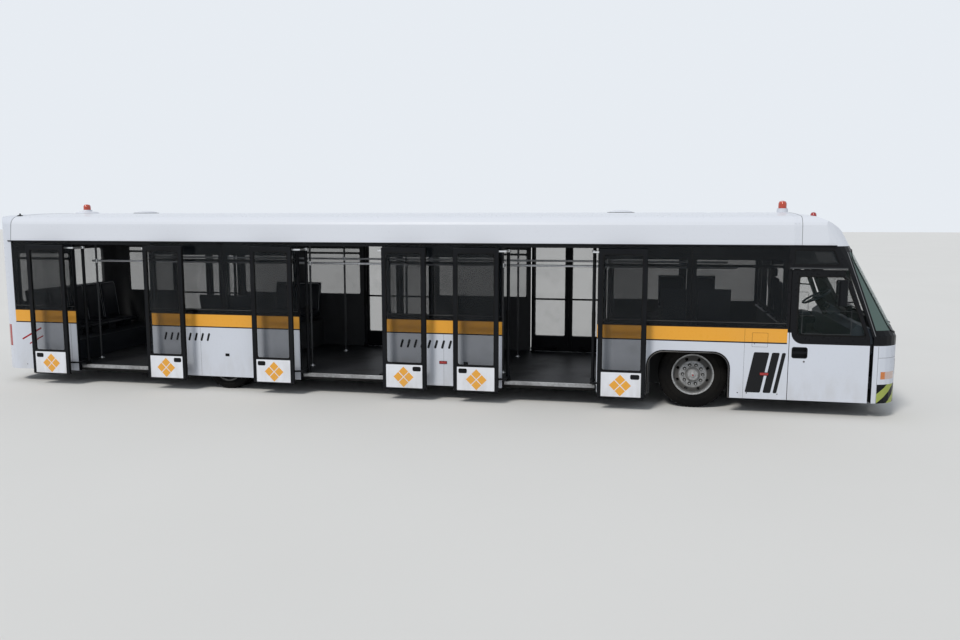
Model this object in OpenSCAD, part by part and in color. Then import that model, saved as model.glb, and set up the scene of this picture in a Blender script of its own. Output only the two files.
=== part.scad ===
// Airport apron bus: a low-floor passenger vehicle with three double doors on each side.
// X runs forward, Y to the left and Z up. The origin is on the ground under the middle of the box
// round the bus. The doors on the right (-Y) side stand open, those on the left side are closed.

/* [Body] */
// Rear overhang, from the rear axle to the tail
rear_overhang = 3990; // [3900:10:4100]
// Wheelbase
wheelbase = 7100; // [7000:10:7200]
// Front overhang, from the front axle to the nose
front_overhang = 2710; // [2650:10:2780]
// Overall width over the side walls
body_w = 3000; // [2960:5:3040]
// Height of the skirts' lower edge
skirt_z = 214; // [190:2:235]
// Height of the passenger floor
floor_z = 300; // [290:5:330]
// Height of the rain gutter, where the side wall ends and the roof begins
gutter_z = 2307; // [2295:1:2330]
// Height of the roof on the centreline
roof_z = 2760; // [2720:5:2820]
// Thickness of a whole wall, from its outer skin to its inner trim
wall_t = 60; // [50:1:70]
// Joint between neighbouring panels, and the seat of a piece that rests on another
panel_gap = 0.3; // [0.2:0.05:0.5]
// How far the roof's side leans in from the gutter to the roof's edge
roof_lean = 25; // [10:1:40]
// Radius of the roof's long edges
roof_edge_r = 160; // [120:5:200]
// Radius of the roof's crown across the bus
crown_r = 15000; // [12000:500:20000]
// Where the rear end piece meets the side walls, measured from the rear
rear_cap_len = 290; // [270:5:320]
// Radius of the rear end's corners, seen from above
rear_corner_r = 230; // [200:5:260]
// Radius of the rear face's bow, seen from above
rear_bow_r = 30000; // [20000:1000:40000]
// Radius of the roof's rear edge
rear_top_r = 110; // [80:5:140]
// Length of the cab section, from the nose back to the side walls
cab_len = 1500; // [1490:5:1530]
// Length of the front roof cap, from the nose back to the roof panel
cap_len = 1370; // [1350:5:1400]
// Radius of the nose's corners, seen from above
nose_corner_r = 350; // [330:5:380]
// Radius of the nose's bow, seen from above
nose_bow_r = 12000; // [9000:500:16000]
// Radius of the roof cap's fall towards the windscreen
cap_r = 1125; // [1100:5:1150]
// Where the roof cap starts to fall, measured from the nose
cap_start = 1550; // [1530:5:1560]
// Angle on the cap's arc at which the windscreen starts
cap_end_a = 37; // [36:0.5:38]
// Radius of the windscreen's corners across its slope
screen_corner_r = 300; // [280:5:320]
// Height of the windscreen's foot
screen_foot_z = 1170; // [1150:5:1190]
// Setback of the windscreen's foot from the nose
screen_foot_in = 30; // [20:2:50]
// Height at which the nose becomes upright
nose_z = 1000; // [960:5:1040]

/* [Side windows] */
// Lower edge of the bonded glass
glass_z0 = 1205; // [1195:1:1215]
// Gap from the bonded glass up to the gutter
glass_top_gap = 12; // [6:1:20]
// Thickness of the bonded glass
glass_t = 8; // [6:0.5:10]
// Bond line between a pane and its rebate
bond = 0.3; // [0.2:0.05:0.5]
// Height of the cut-out's sill behind the glass
win_z0 = 1270; // [1250:5:1290]
// Height of the cut-out's head behind the glass
win_z1 = 2110; // [2090:5:2130]
// Width of the wall's posts beside each cut-out
win_post = 60; // [50:2:80]
// Joint between two panes
pane_joint = 8; // [5:1:12]
// Height of the transom below the hopper lights
transom_z = 2010; // [1990:5:2030]
// Height of the transom bar itself
transom_h = 36; // [30:2:44]
// Radius of the cut-outs' corners
win_r = 30; // [20:2:40]
// Gap from a door opening to the bonded glass beside it
band_gap = 20; // [16:1:30]

/* [Passenger doors] */
// Middle of the rear doors, measured from the tail
rear_door_x = 2090; // [2070:5:2110]
// Middle of the middle doors, ahead of the rear axle
mid_door_x = 1950; // [1930:5:1970]
// Middle of the front doors, behind the front axle
front_door_x = 2020; // [2000:5:2040]
// Width of a door opening
door_w = 1360; // [1340:5:1380]
// Height of the opening's head
door_head_z = 2258; // [2250:1:2264]
// Height of a leaf's lower edge
leaf_z0 = 190; // [180:2:205]
// Gap above a leaf, below the opening's head
leaf_top_gap = 8; // [6:1:10]
// Thickness of a leaf
leaf_t = 45; // [40:1:48]
// Gap between a closed leaf and the side of the opening
leaf_gap = 22; // [20:1:26]
// Gap between the two closed leaves
leaf_meet = 8; // [6:1:12]
// Width of a leaf's stiles
stile_w = 58; // [50:2:66]
// Height of a leaf's top rail
leaf_rail = 70; // [60:2:80]
// Height of the lower edge of a leaf's glass
leaf_glass_z = 572; // [560:2:590]
// Thickness of a leaf's glass
leaf_glass_t = 8; // [6:0.5:10]
// Height of the upper edge of a leaf's lower panel
leaf_panel_z = 545; // [535:2:555]
// Depth of the lower panel's recess on the inner face
leaf_panel_in = 12; // [8:1:14]
// Distance of a post's axis from the side of the opening
post_side = 60; // [56:1:66]
// Distance of a post's axis inside the wall's outer face
post_in = 170; // [166:1:180]
// Radius of a post
post_r = 25; // [22:1:28]
// Length of the arms, from post axis to leaf axis
arm_r = 420; // [416:1:426]
// Angle of the arms when the door is closed
arm_shut_a = 14; // [13:0.5:15]
// Swing of the posts from closed to open
arm_swing = 120; // [118:1:122]
// Distance of the arms' elbow from the post's axis
elbow_r = 236; // [230:1:240]
// Width of the arms
arm_w = 36; // [32:1:40]
// Thickness of the arms
arm_t = 22; // [18:1:24]
// Height of the upper arms' middle
arm_top_z = 2206; // [2204:1:2212]
// Height of the lower arms' middle above the floor
arm_low_h = 62; // [58:1:70]
// Radius of the pins between arms and leaves
leaf_pin_r = 9; // [8:0.5:10]
// Radius of the post's journals
journal_r = 12; // [10:0.5:14]
// Running clearance of pins and journals, on the radius
run_fit = 0.08; // [0.05:0.01:0.1]
// End float between turning pieces and what holds them
end_float = 1; // [0.6:0.1:2]
// Depth of the journals' seats
journal_len = 24; // [20:1:30]
// Depth of the mechanism box over a door, from the wall inwards
header_d = 170; // [160:5:200]

/* [Cab] */
// Width of the post behind the cab door
cab_post_w = 30; // [26:1:34]
// Front edge of the cab door, measured from the nose
cab_door_front = 455; // [450:1:460]
// Gap in front of the cab door, round its hinges
cab_hinge_gap = 45; // [44:1:50]
// Gap round the rest of the cab door
cab_gap = 8; // [6:1:10]
// Height of the cab door's upper edge
cab_door_top = 1990; // [1980:5:2000]
// Height at which the cab door's front edge starts to slant
cab_slant_z = 1090; // [1080:5:1100]
// Run of the slanted front edge, from its foot to its head
cab_slant_run = 315; // [305:5:325]
// Lower edge of the cab door's window
cab_win_z = 1110; // [1100:5:1120]
// Width of the cab door's frame round its window
cab_frame = 85; // [75:5:95]
// Height of the small light over the cab door
cab_light_h = 190; // [180:5:200]
// Height of the cab floor over the engine
cab_floor_z = 850; // [830:5:870]
// Half width of the cab floor
cab_floor_half = 700; // [690:5:720]
// Radius of a cab door's hinge pins
cab_pin_r = 8; // [7:0.5:9]
// Reach of the mirrors from the centreline
mirror_y = 1780; // [1770:2:1800]
// Height of the mirrors' middle
mirror_z = 1705; // [1690:5:1720]
// Height of a mirror's housing
mirror_h = 330; // [310:5:340]

/* [Running gear] */
// Radius of the front tyres
front_r = 478; // [470:1:486]
// Width of the front tyres
front_w = 275; // [265:5:280]
// Middle of the front wheels, inside the side wall's outer face
front_wheel_in = 340; // [336:2:346]
// Kingpins, inboard of the front wheels' middle
kingpin_in = 100; // [96:1:110]
// Radius of the front rims at the bead seats
front_rim_r = 286; // [280:1:292]
// Radius of the rear tyres
rear_r = 355; // [350:1:362]
// Width of one rear tyre
rear_w = 205; // [200:1:210]
// Gap between the rear twin tyres
twin_gap = 34; // [28:1:40]
// Middle of the rear twins, inside the side wall's outer face
rear_wheel_in = 320; // [316:2:326]
// Radius of the rear rims at the bead seats
rear_rim_r = 222; // [216:1:226]
// Thickness of the rims
rim_t = 14; // [10:1:16]
// Radius of the hub bolts' circle
bolt_r = 110; // [105:1:115]
// Number of hub bolts
bolt_n = 10; // [8:1:12]
// Number of vent holes in a rim
vent_n = 8; // [6:1:10]
// Radius of the stub axles
stub_r = 34; // [30:1:38]
// Rear edge of the front arch, behind the axle
arch_back = 630; // [620:5:640]
// Front edge of the front arch, ahead of the axle
arch_front = 460; // [450:5:470]
// Height of the front arch
arch_z = 830; // [820:5:840]
// Radius of the front arch's shoulders
arch_r = 210; // [190:5:230]
// Thickness of the skirt beside the front wheels
skirt_skin = 22; // [18:1:24]
// Half length of the front wheel boxes
box_half = 620; // [600:5:640]
// Depth of the front wheel boxes, from the side wall's outer face
box_d = 860; // [850:5:870]
// Height of the front wheel boxes
box_z = 1040; // [1030:5:1060]
// Thickness of the wheel boxes' sheet
box_t = 20; // [15:1:25]
// Half length of the rear wheel boxes
rear_box_half = 440; // [430:5:460]
// Depth of the rear wheel boxes, from the side wall's outer face
rear_box_d = 620; // [610:5:630]
// Height of the rear wheel boxes
rear_box_z = 780; // [770:5:800]

/* [Details] */
// Thickness of the floor's deck
deck_t = 26; // [20:2:32]
// Width of the floor frame's members
member_w = 60; // [50:5:80]
// Spacing of the cross members
member_pitch = 760; // [700:10:900]
// Diameter of the handrails
rail_d = 34; // [30:1:40]
// Height of the long handrails
rail_z = 1960; // [1940:5:1980]
// Distance of the long handrails from the centreline
rail_y = 760; // [720:5:800]
// Height of the passenger seats' pan over what carries them
seat_h = 130; // [110:5:160]
// Width of a passenger seat
seat_w = 440; // [420:5:460]
// Height of the platform under the rear seats
bench_h = 330; // [300:5:360]
// Radius of the towing eyes' bores
tow_bore_r = 20; // [18:1:24]

/* [Hidden] */
$fn = 48;

body_len = rear_overhang + wheelbase + front_overhang;
half_w = body_w / 2;
nose_x = body_len / 2;
tail_x = -body_len / 2;
rear_axle_x = tail_x + rear_overhang;
front_axle_x = rear_axle_x + wheelbase;
front_track = body_w - 2 * front_wheel_in;
rear_track = body_w - 2 * rear_wheel_in;
box_in = half_w - box_d;
rear_box_in = half_w - rear_box_d;
side_x0 = tail_x + rear_cap_len;
side_x1 = nose_x - cab_len;
cap_x = nose_x - cap_len;
door_xs = [tail_x + rear_door_x, rear_axle_x + mid_door_x, front_axle_x - front_door_x];
eps = 1;

// A circular arc as a list of points: centre, radius, first and last angle, number of steps
function arc(c, r, a0, a1, n) =
    [for (i = [0:n]) c + r * [cos(a0 + (a1 - a0) * i / n), sin(a0 + (a1 - a0) * i / n)]];

// A bowed edge with two rounded corners that meet it smoothly. It faces +x with its middle at
// x = 0 and runs from -half to +half in y. The inset d moves the whole edge inwards.
function bow_slope(half, r, bow) = asin((half - r) / (bow - r));
function bow_drop(half, r, bow) = (bow - r) * (1 - cos(bow_slope(half, r, bow)));
function bowed(half, r, bow, d, n = 6) =
    let (s = bow_slope(half, r, bow), cx = -r - bow_drop(half, r, bow), cy = half - r,
         middle = arc([-bow, 0], bow - d, -s, s, 2 * n))
    concat(arc([cx, -cy], r - d, -90, -s, n), [for (i = [1:2 * n - 1]) middle[i]],
           arc([cx, cy], r - d, s, 90, n));

// Cross section of the body, in y and z
function section_pts(d, base) = concat(
    [[-half_w + d, base], [-half_w + d, gutter_z]],
    [for (p = bowed(half_w - roof_lean, roof_edge_r, crown_r, d)) [p[1], roof_z + p[0]]],
    [[half_w - d, gutter_z], [half_w - d, base]]);

// Outline of the body from above, in x and y
function plan_pts(d) = concat(
    [for (p = bowed(half_w, nose_corner_r, nose_bow_r, d)) [nose_x + p[0], p[1]]],
    [for (p = bowed(half_w, rear_corner_r, rear_bow_r, d)) [tail_x - p[0], -p[1]]]);

// Outline of the body from the side, in x and z
cap_c = [nose_x - cap_start, roof_z - cap_r];
screen_head = cap_c + cap_r * [cos(cap_end_a), sin(cap_end_a)];
screen_foot = [nose_x - screen_foot_in, screen_foot_z];
screen_lean = atan((screen_foot[0] - screen_head[0]) / (screen_head[1] - screen_foot[1]));
function side_pts(d, base) = concat(
    [[tail_x + d, base]],
    arc([tail_x + rear_top_r, roof_z - rear_top_r], rear_top_r - d, 180, 90, 5),
    arc(cap_c, cap_r - d, 90, cap_end_a, 9),
    [screen_foot - [d / cos(screen_lean), 0], [nose_x - d, nose_z], [nose_x - d, base]]);

// Extrusions along the three axes of an outline drawn in the two others
module along_x(x0, x1) translate([x0, 0, 0]) rotate([90, 0, 90]) linear_extrude(x1 - x0) children();
module along_y(y0, y1) translate([0, y1, 0]) rotate([90, 0, 0]) linear_extrude(y1 - y0) children();
module along_z(z0, z1) translate([0, 0, z0]) linear_extrude(z1 - z0) children();
module block(x, y, z) translate([x[0], y[0], z[0]]) cube([x[1] - x[0], y[1] - y[0], z[1] - z[0]]);
module rod(p, axis, r, h) translate(p) rotate(axis) cylinder(r = r, h = h);
// Both sides of the bus from one drawn for the right side
module both() { children(); mirror([0, 1, 0]) children(); }

// A straight bar of width w in the plane, from a to b
module arm_bar(a, b, w) translate(a) rotate([0, 0, atan2(b[1] - a[1], b[0] - a[0])])
    translate([0, -w / 2]) square([norm(b - a), w]);

// The windscreen's own frame: x square to the glass, z up along its slope
module on_screen() translate([screen_foot[0], 0, screen_foot[1]]) rotate([0, -screen_lean, 0]) children();

// The body's outer form, moved inwards by d
module body_form(d, base = skirt_z) intersection() {
    along_x(tail_x - eps, nose_x + eps) polygon(section_pts(d, base));
    along_y(-half_w - eps, half_w + eps) polygon(side_pts(d, base));
    along_z(base, roof_z + eps) polygon(plan_pts(d));
    on_screen() along_z(-roof_z, body_len) polygon(concat(bowed(half_w, screen_corner_r, nose_bow_r, d),
        [[-body_len - roof_z, half_w - d], [-body_len - roof_z, -half_w + d]]));
}
module shell(t = wall_t) difference() { body_form(0); body_form(t, skirt_z - eps); }
// A layer of the body's skin between two depths
module skin(d0, d1) difference() { body_form(d0); body_form(d1, skirt_z - eps); }

// A joint through a panel: a thin slit square to y or z
module slit_y(y, x, z) block(x, [y - panel_gap / 2, y + panel_gap / 2], z);
module slit_z(z, x, y) block(x, y, [z, z + panel_gap]);

// A rectangle with rounded corners from a to b
function round_rect_pts(a, b, r) = concat(
    arc([b[0] - r, b[1] - r], r, 0, 90, 4), arc([a[0] + r, b[1] - r], r, 90, 180, 4),
    arc([a[0] + r, a[1] + r], r, 180, 270, 4), arc([b[0] - r, a[1] + r], r, 270, 360, 4));

// Side window bays: first x, last x, number of panes
door_l = [for (c = door_xs) c - door_w / 2];
door_r = [for (c = door_xs) c + door_w / 2];
bays = [
    [side_x0 + band_gap, door_l[0] - band_gap, 1],
    [door_r[0] + band_gap, door_l[1] - band_gap, 2],
    [door_r[1] + band_gap, door_l[2] - band_gap, 1],
    [door_r[2] + band_gap, side_x1 - band_gap, 2]];
glass_z1 = gutter_z - glass_top_gap;
panes = [for (b = bays) for (i = [0:b[2] - 1]) let (w = (b[1] - b[0] + pane_joint) / b[2])
    [b[0] + i * w, b[0] + (i + 1) * w - pane_joint]];

// The front arch's outline, in x and z
arch_pts = concat([[front_axle_x - arch_back, 0]],
    arc([front_axle_x - arch_back + arch_r, arch_z - arch_r], arch_r, 180, 90, 6),
    arc([front_axle_x + arch_front - arch_r, arch_z - arch_r], arch_r, 90, 0, 6),
    [[front_axle_x + arch_front, 0]]);

// A side wall with its door openings, window cut-outs, rebates and arch, drawn for the right side
module side_wall() {
    y0 = -half_w;
    y1 = -half_w + wall_t;
    difference() {
        union() {
            block([side_x0, side_x1], [y0, y1], [skirt_z, gutter_z]);
            for (c = door_xs) block([c - door_w / 2, c + door_w / 2], [y0 + wall_t, y0 + wall_t + header_d],
                [door_head_z, gutter_z]);
        }
        for (c = door_xs) block([c - door_w / 2, c + door_w / 2], [y0 - eps, y1 + eps], [0, door_head_z]);
        for (c = door_xs) for (e = [-1, 1])
            rod([c + e * (door_w / 2 - post_side), y0 + post_in, door_head_z - eps], [0, 0, 0],
                journal_r + run_fit, journal_len + eps);
        for (p = panes) {
            block(p, [y0 - eps, y0 + glass_t + bond], [glass_z0, glass_z1]);
            along_y(y0 - eps, y1 + eps) polygon(round_rect_pts([p[0] + win_post, win_z0],
                [p[1] - win_post, transom_z], win_r));
            along_y(y0 - eps, y1 + eps) polygon(round_rect_pts([p[0] + win_post, transom_z + transom_h],
                [p[1] - win_post, win_z1], win_r / 2));
        }
        along_y(y0 - eps, y1 + eps) polygon(arch_pts);
        block([front_axle_x - box_half, front_axle_x + box_half], [y0 + skirt_skin, y1 + eps], [0, box_z]);
        block([rear_axle_x - rear_box_half, rear_axle_x + rear_box_half], [y0 + skirt_skin, y1 + eps],
            [0, rear_box_z]);
        // The bays meet the rail over the doors in a joint
        slit_z(door_head_z, [side_x0 - eps, side_x1 + eps], [y0 - eps, y1 + eps]);
    }
}
module side_right() color("white") side_wall();
module side_left() color("white") mirror([0, 1, 0]) side_wall();

// The bonded panes of one side
module side_panes() for (p = panes)
    block([p[0] + bond, p[1] - bond], [-half_w, -half_w + glass_t], [glass_z0 + bond, glass_z1 - bond]);
module glass_right() color([0.1, 0.12, 0.14, 0.5]) side_panes();
module glass_left() color([0.1, 0.12, 0.14, 0.5]) mirror([0, 1, 0]) side_panes();

// The roof panel with its cantrails
module roof() color("white") along_x(side_x0, cap_x) difference() {
    polygon(section_pts(0, gutter_z));
    polygon(section_pts(wall_t, gutter_z - eps));
}
module roof_cap_front() color("white") intersection() {
    shell();
    block([cap_x, nose_x], [-half_w, half_w], [gutter_z, roof_z]);
}

// The rear end: corners, rear wall with its window, roof edge and bumper line
rear_win_half = half_w - 420;
module rear_win_cut(grow, x0, x1) along_x(x0, x1) polygon(round_rect_pts(
    [-rear_win_half - grow, win_z0 - grow], [rear_win_half + grow, win_z1 + grow], 60 + grow));
glazing_lap = 45;
tail_lamp_z = [590, 940];
tail_lamp_in = 190;
lamp_t = 14;
// Zone of a tail lamp, wrapped round the right rear corner
module tail_lamp_zone(g) block([tail_x - eps, tail_x + tail_lamp_in - g], [-half_w - eps, -half_w + 170 - g],
    [tail_lamp_z[0] + g, tail_lamp_z[1] - g]);
indicator_z = [540, 640];
indicator_x = [nose_x - 300, nose_x - 100];
module indicator_zone(g) block([indicator_x[0] + g, indicator_x[1] - g], [-half_w - eps, -half_w / 2],
    [indicator_z[0] + g, indicator_z[1] - g]);
head_lamp_y = [780, 1180];
head_lamp_z = [560, 800];
module head_lamp_zone(g) block([nose_x - 240, nose_x + eps], [-head_lamp_y[1] + g, -head_lamp_y[0] - g],
    [head_lamp_z[0] + g, head_lamp_z[1] - g]);

tow_w = 90;
tow_lug = 60;
tow_room = 8;
rear_tow_z = floor_z + tow_w / 2;
rear_panel_y = rear_win_half + 120;
module rear_end() color("white") difference() {
    union() {
        intersection() {
            shell();
            block([tail_x, side_x0], [-half_w, half_w], [skirt_z, roof_z]);
        }
        // Lug for the towing eye
        block([tail_x + wall_t - eps, tail_x + wall_t + tow_lug], [-tow_w / 2, tow_w / 2],
            [rear_tow_z - tow_w / 2, rear_tow_z + tow_w / 2]);
    }
    rod([tail_x - eps, 0, rear_tow_z], [0, 90, 0], tow_bore_r, wall_t + tow_lug + 2 * eps);
    // Joints between the rear panel, its corners and the roof's edge
    both() slit_y(-rear_panel_y, [tail_x - eps, side_x0 + eps], [0, roof_z + eps]);
    slit_z(gutter_z, [tail_x - eps, side_x0 + eps], [-half_w - eps, half_w + eps]);
    rear_win_cut(0, tail_x - eps, side_x0);
    intersection() {
        skin(-eps, glass_t + bond);
        rear_win_cut(glazing_lap + bond, tail_x - eps, side_x0);
    }
    both() intersection() { skin(-eps, lamp_t + bond); tail_lamp_zone(0); }
}

// The cab door's outline, in x and z, grown by g at the sides and top and by gf at the front
door_back_x = side_x1 + cab_post_w;
door_front_x = nose_x - cab_door_front;
function cab_door_pts(g, gf, low) = [
    [door_back_x - g, low], [door_front_x + gf, low], [door_front_x + gf, cab_slant_z + g],
    [door_front_x + g - cab_slant_run, cab_door_top + g], [door_back_x - g, cab_door_top + g]];
// The window in the cab door and the small light above it
function cab_win_pts() = [
    [door_back_x + cab_frame, cab_win_z], [door_front_x - cab_frame * 0.7, cab_win_z],
    [door_front_x - cab_frame * 0.7, cab_slant_z + 60],
    [door_front_x - cab_slant_run * 0.86 - cab_frame, cab_door_top - cab_frame],
    [door_back_x + cab_frame, cab_door_top - cab_frame]];
cab_light_z0 = cab_door_top + 70;
function cab_light_pts(g) = [
    [door_back_x + 20 - g, cab_light_z0 - g], [door_front_x - cab_slant_run - 110 + g, cab_light_z0 - g],
    [door_front_x - cab_slant_run - 190 + g, cab_light_z0 + cab_light_h + g],
    [door_back_x + 20 - g, cab_light_z0 + cab_light_h + g]];

// The windscreen's outline across its slope, in y and slope height
screen_half = half_w - 150;
screen_len = (screen_head[1] - screen_foot[1]) / cos(screen_lean);
module screen_cut(grow, x0, x1) on_screen() along_x(x0, x1) polygon(round_rect_pts(
    [-screen_half - grow, 70 - grow], [screen_half + grow, screen_len - 75 + grow], 90 + grow));

// Place of the slanted front post's edge at height z
function slant_x(z) = door_front_x - cab_slant_run * (z - cab_slant_z) / (cab_door_top - cab_slant_z);
mirror_x = door_front_x - cab_slant_run - 105;
mirror_w = 110;
mirror_d = 190;
mirror_arm_w = 24;
mirror_root = 12;

hinge_x = door_front_x + cab_hinge_gap / 2;
hinge_y = -half_w + 20;
hinge_zs = [460, 960];
hinge_h = 70;
front_tow_z = 360;
nose_panel_z = screen_foot_z - 70;
nose_panel_y = half_w - 350;
// The cab section: nose, pillars, door frames and bumper
module front_end() color("white") {
    difference() {
        union() {
            intersection() {
                shell();
                block([side_x1, nose_x], [-half_w, half_w], [skirt_z, gutter_z]);
            }
            block([nose_x - wall_t - tow_lug, nose_x - wall_t + eps], [-tow_w / 2, tow_w / 2],
                [front_tow_z - tow_w / 2, front_tow_z + tow_w / 2]);
        }
        rod([nose_x - wall_t - tow_lug - eps, 0, front_tow_z], [0, 90, 0], tow_bore_r,
            wall_t + tow_lug + 2 * eps);
        // Joints between the nose, its corners, the pillars and the rails over the doors
        both() slit_y(-nose_panel_y, [side_x1 - eps, nose_x + eps], [0, roof_z]);
        for (z = [nose_panel_z, cab_door_top + cab_gap])
            slit_z(z, [side_x1 - eps, nose_x + eps], [-half_w - eps, half_w + eps]);
        both() along_y(-half_w - eps, -half_w + 300) polygon(cab_door_pts(cab_gap, cab_hinge_gap, 0));
        both() along_y(-half_w - eps, -half_w + 300) polygon(cab_light_pts(-25));
        both() intersection() {
            skin(-eps, glass_t + bond);
            along_y(-half_w - eps, -half_w + 300) polygon(cab_light_pts(0));
        }
        screen_cut(0, -600, 200);
        intersection() { skin(-eps, glass_t + bond); screen_cut(glazing_lap + bond, -600, 200); }
        both() intersection() { skin(-eps, lamp_t + bond); indicator_zone(0); }
        both() intersection() { skin(-eps, lamp_t + bond); head_lamp_zone(0); }
    }
    // Hinge pins with their lugs
    both() for (z = hinge_zs) {
        rod([hinge_x, hinge_y, z - hinge_h / 2 - 16], [0, 0, 0], cab_pin_r, hinge_h + 32);
        for (e = [-1, 1]) translate([0, 0, z + e * (hinge_h / 2 + 10)])
            block([hinge_x - 8, door_front_x + cab_hinge_gap + eps], [hinge_y - 8, hinge_y + 14], [-7, 7]);
    }
}

// Windscreen, rear window and the two small lights over the cab doors
module end_glazing() color([0.2, 0.28, 0.28, 0.5]) {
    intersection() { skin(0, glass_t); screen_cut(glazing_lap, -600, 200); }
    intersection() { skin(0, glass_t); rear_win_cut(glazing_lap, tail_x - eps, side_x0); }
    both() intersection() {
        skin(0, glass_t);
        along_y(-half_w - eps, -half_w + 300) polygon(cab_light_pts(-bond));
    }
}

// A cab door with its window, handle, hinge lugs and mirror, drawn for the right side
module cab_door() {
    difference() {
        intersection() {
            shell();
            along_y(-half_w - eps, -half_w + 300) polygon(cab_door_pts(0, 0, skirt_z));
        }
        difference() {
            along_y(-half_w - eps, -half_w + 300) polygon(cab_win_pts());
            skin(glass_t, 2 * glass_t);
        }
        // Recess behind the pull handle
        block([door_back_x + 45, door_back_x + 225], [-half_w - eps, -half_w + 30], [805, 935]);
        // Joint between the lower panel and the window's frame
        slit_z(cab_slant_z, [door_back_x - eps, door_front_x + eps], [-half_w - eps, -half_w / 2]);
    }
    // Pull handle across the recess
    block([door_back_x + 40, door_back_x + 230], [-half_w - 12, -half_w + 4], [858, 884]);
    // Hinge lugs, bored for the pins
    for (z = hinge_zs) difference() {
        union() {
            rod([hinge_x, hinge_y, z - hinge_h / 2 + end_float + 2], [0, 0, 0], cab_pin_r + 7,
                hinge_h - 2 * end_float - 4);
            block([door_front_x - 20, hinge_x], [hinge_y, hinge_y + 12],
                [z - hinge_h / 2 + end_float + 2, z + hinge_h / 2 - end_float - 2]);
        }
        rod([hinge_x, hinge_y, z - hinge_h / 2 - eps], [0, 0, 0], cab_pin_r + run_fit, hinge_h + 2 * eps);
    }
    // Mirror: a tall housing on two arms that stand against the door's slanted front post
    for (e = [-1, 1]) let (z = mirror_z + e * (mirror_h / 2 - 30)) intersection() {
        along_z(z - 10, z + 10) arm_bar([mirror_x, -mirror_y + mirror_d / 2],
            [slant_x(z) - cab_frame / 2, -half_w + mirror_root], mirror_arm_w);
        block([mirror_x, door_front_x], [-mirror_y, -half_w - panel_gap], [z - 10, z + 10]);
    }
    along_z(mirror_z - mirror_h / 2, mirror_z + mirror_h / 2) polygon(round_rect_pts(
        [mirror_x - mirror_w / 2, -mirror_y], [mirror_x + mirror_w / 2, -mirror_y + mirror_d], 35));
}
module cab_door_right() color("white") cab_door();
module cab_door_left() color("white") mirror([0, 1, 0]) cab_door();

// Passenger doors. A post turns just inside the opening and carries its leaf on two bent arms.
// Everything is drawn for the rear leaf of a right-hand door, closed, from the door's centre.
post_p = [-door_w / 2 + post_side, -half_w + post_in];
shut_v = arm_r * [cos(arm_shut_a), -sin(arm_shut_a)];
open_v = arm_r * [cos(arm_shut_a + arm_swing), -sin(arm_shut_a + arm_swing)];
elbow_v = elbow_r * [cos(90 - arm_swing), -sin(90 - arm_swing)];
pin_p = post_p + shut_v;
arm_zs = [floor_z + arm_low_h, arm_top_z];

module door_post() translate(post_p) {
    rod([0, 0, floor_z - journal_len + end_float], [0, 0, 0], journal_r, journal_len);
    rod([0, 0, floor_z + end_float], [0, 0, 0], post_r, door_head_z - floor_z - 2 * end_float);
    rod([0, 0, door_head_z - 2 * end_float], [0, 0, 0], journal_r, journal_len);
    for (z = arm_zs) difference() {
        along_z(z - arm_t / 2, z + arm_t / 2) {
            arm_bar([0, 0], elbow_v, arm_w);
            translate(elbow_v) circle(arm_w / 2);
            arm_bar(elbow_v, shut_v, arm_w);
            translate(shut_v) circle(arm_w / 2);
        }
        rod([shut_v[0], shut_v[1], z - arm_t], [0, 0, 0], leaf_pin_r + run_fit, 2 * arm_t);
    }
}
lug_t = 12;
lug_w = 32;
leaf_x0 = -door_w / 2 + leaf_gap;
leaf_x1 = -leaf_meet / 2;
leaf_z1 = door_head_z - leaf_top_gap;
module door_leaf() {
    y0 = -half_w;
    difference() {
        block([leaf_x0, leaf_x1], [y0, y0 + leaf_t], [leaf_z0, leaf_z1]);
        // Glass: a thin web left between an outer and an inner pocket
        for (y = [[y0 - eps, y0 + 6], [y0 + 6 + leaf_glass_t, y0 + leaf_t + eps]])
            along_y(y[0], y[1]) polygon(round_rect_pts([leaf_x0 + stile_w, leaf_glass_z],
                [leaf_x1 - stile_w, leaf_z1 - leaf_rail], win_r));
        // Inner recess of the lower panel
        block([leaf_x0 + stile_w, leaf_x1 - stile_w], [y0 + leaf_t - leaf_panel_in, y0 + leaf_t + eps],
            [leaf_z0 + 60, leaf_panel_z - 60]);
        // Finger recess by the outer edge
        block([leaf_x0 + stile_w + 20, leaf_x0 + stile_w + 135], [y0 - eps, y0 + 10],
            [leaf_panel_z - 85, leaf_panel_z - 25]);
    }
    // Two lugs with a pin for each arm stand on the leaf
    reach = arm_t / 2 + end_float;
    for (i = [0, 1]) let (z = arm_zs[i], face = y0 + leaf_t - (i == 0 ? leaf_panel_in : 0) + panel_gap) {
        rod([pin_p[0], pin_p[1], z - reach - lug_t], [0, 0, 0], leaf_pin_r, 2 * (reach + lug_t));
        for (z0 = [z - reach - lug_t, z + reach])
            block([pin_p[0] - lug_w / 2, pin_p[0] + lug_w / 2], [face, pin_p[1] + lug_w / 2 - 4],
                [z0, z0 + lug_t]);
    }
}
// Places a drawn piece at door i, side s (0 right, 1 left), end e (0 rear, 1 front)
module at_door(i, s, e) translate([door_xs[i], 0, 0]) mirror([e, 0, 0]) mirror([0, s, 0]) children();
module post(i, s, e) color("dimgray") at_door(i, s, e)
    translate(post_p) rotate([0, 0, s == 0 ? -arm_swing : 0]) translate(-post_p) door_post();
module leaf(i, s, e) color("lightgray") at_door(i, s, e)
    translate(s == 0 ? open_v - shut_v : [0, 0]) door_leaf();

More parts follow.
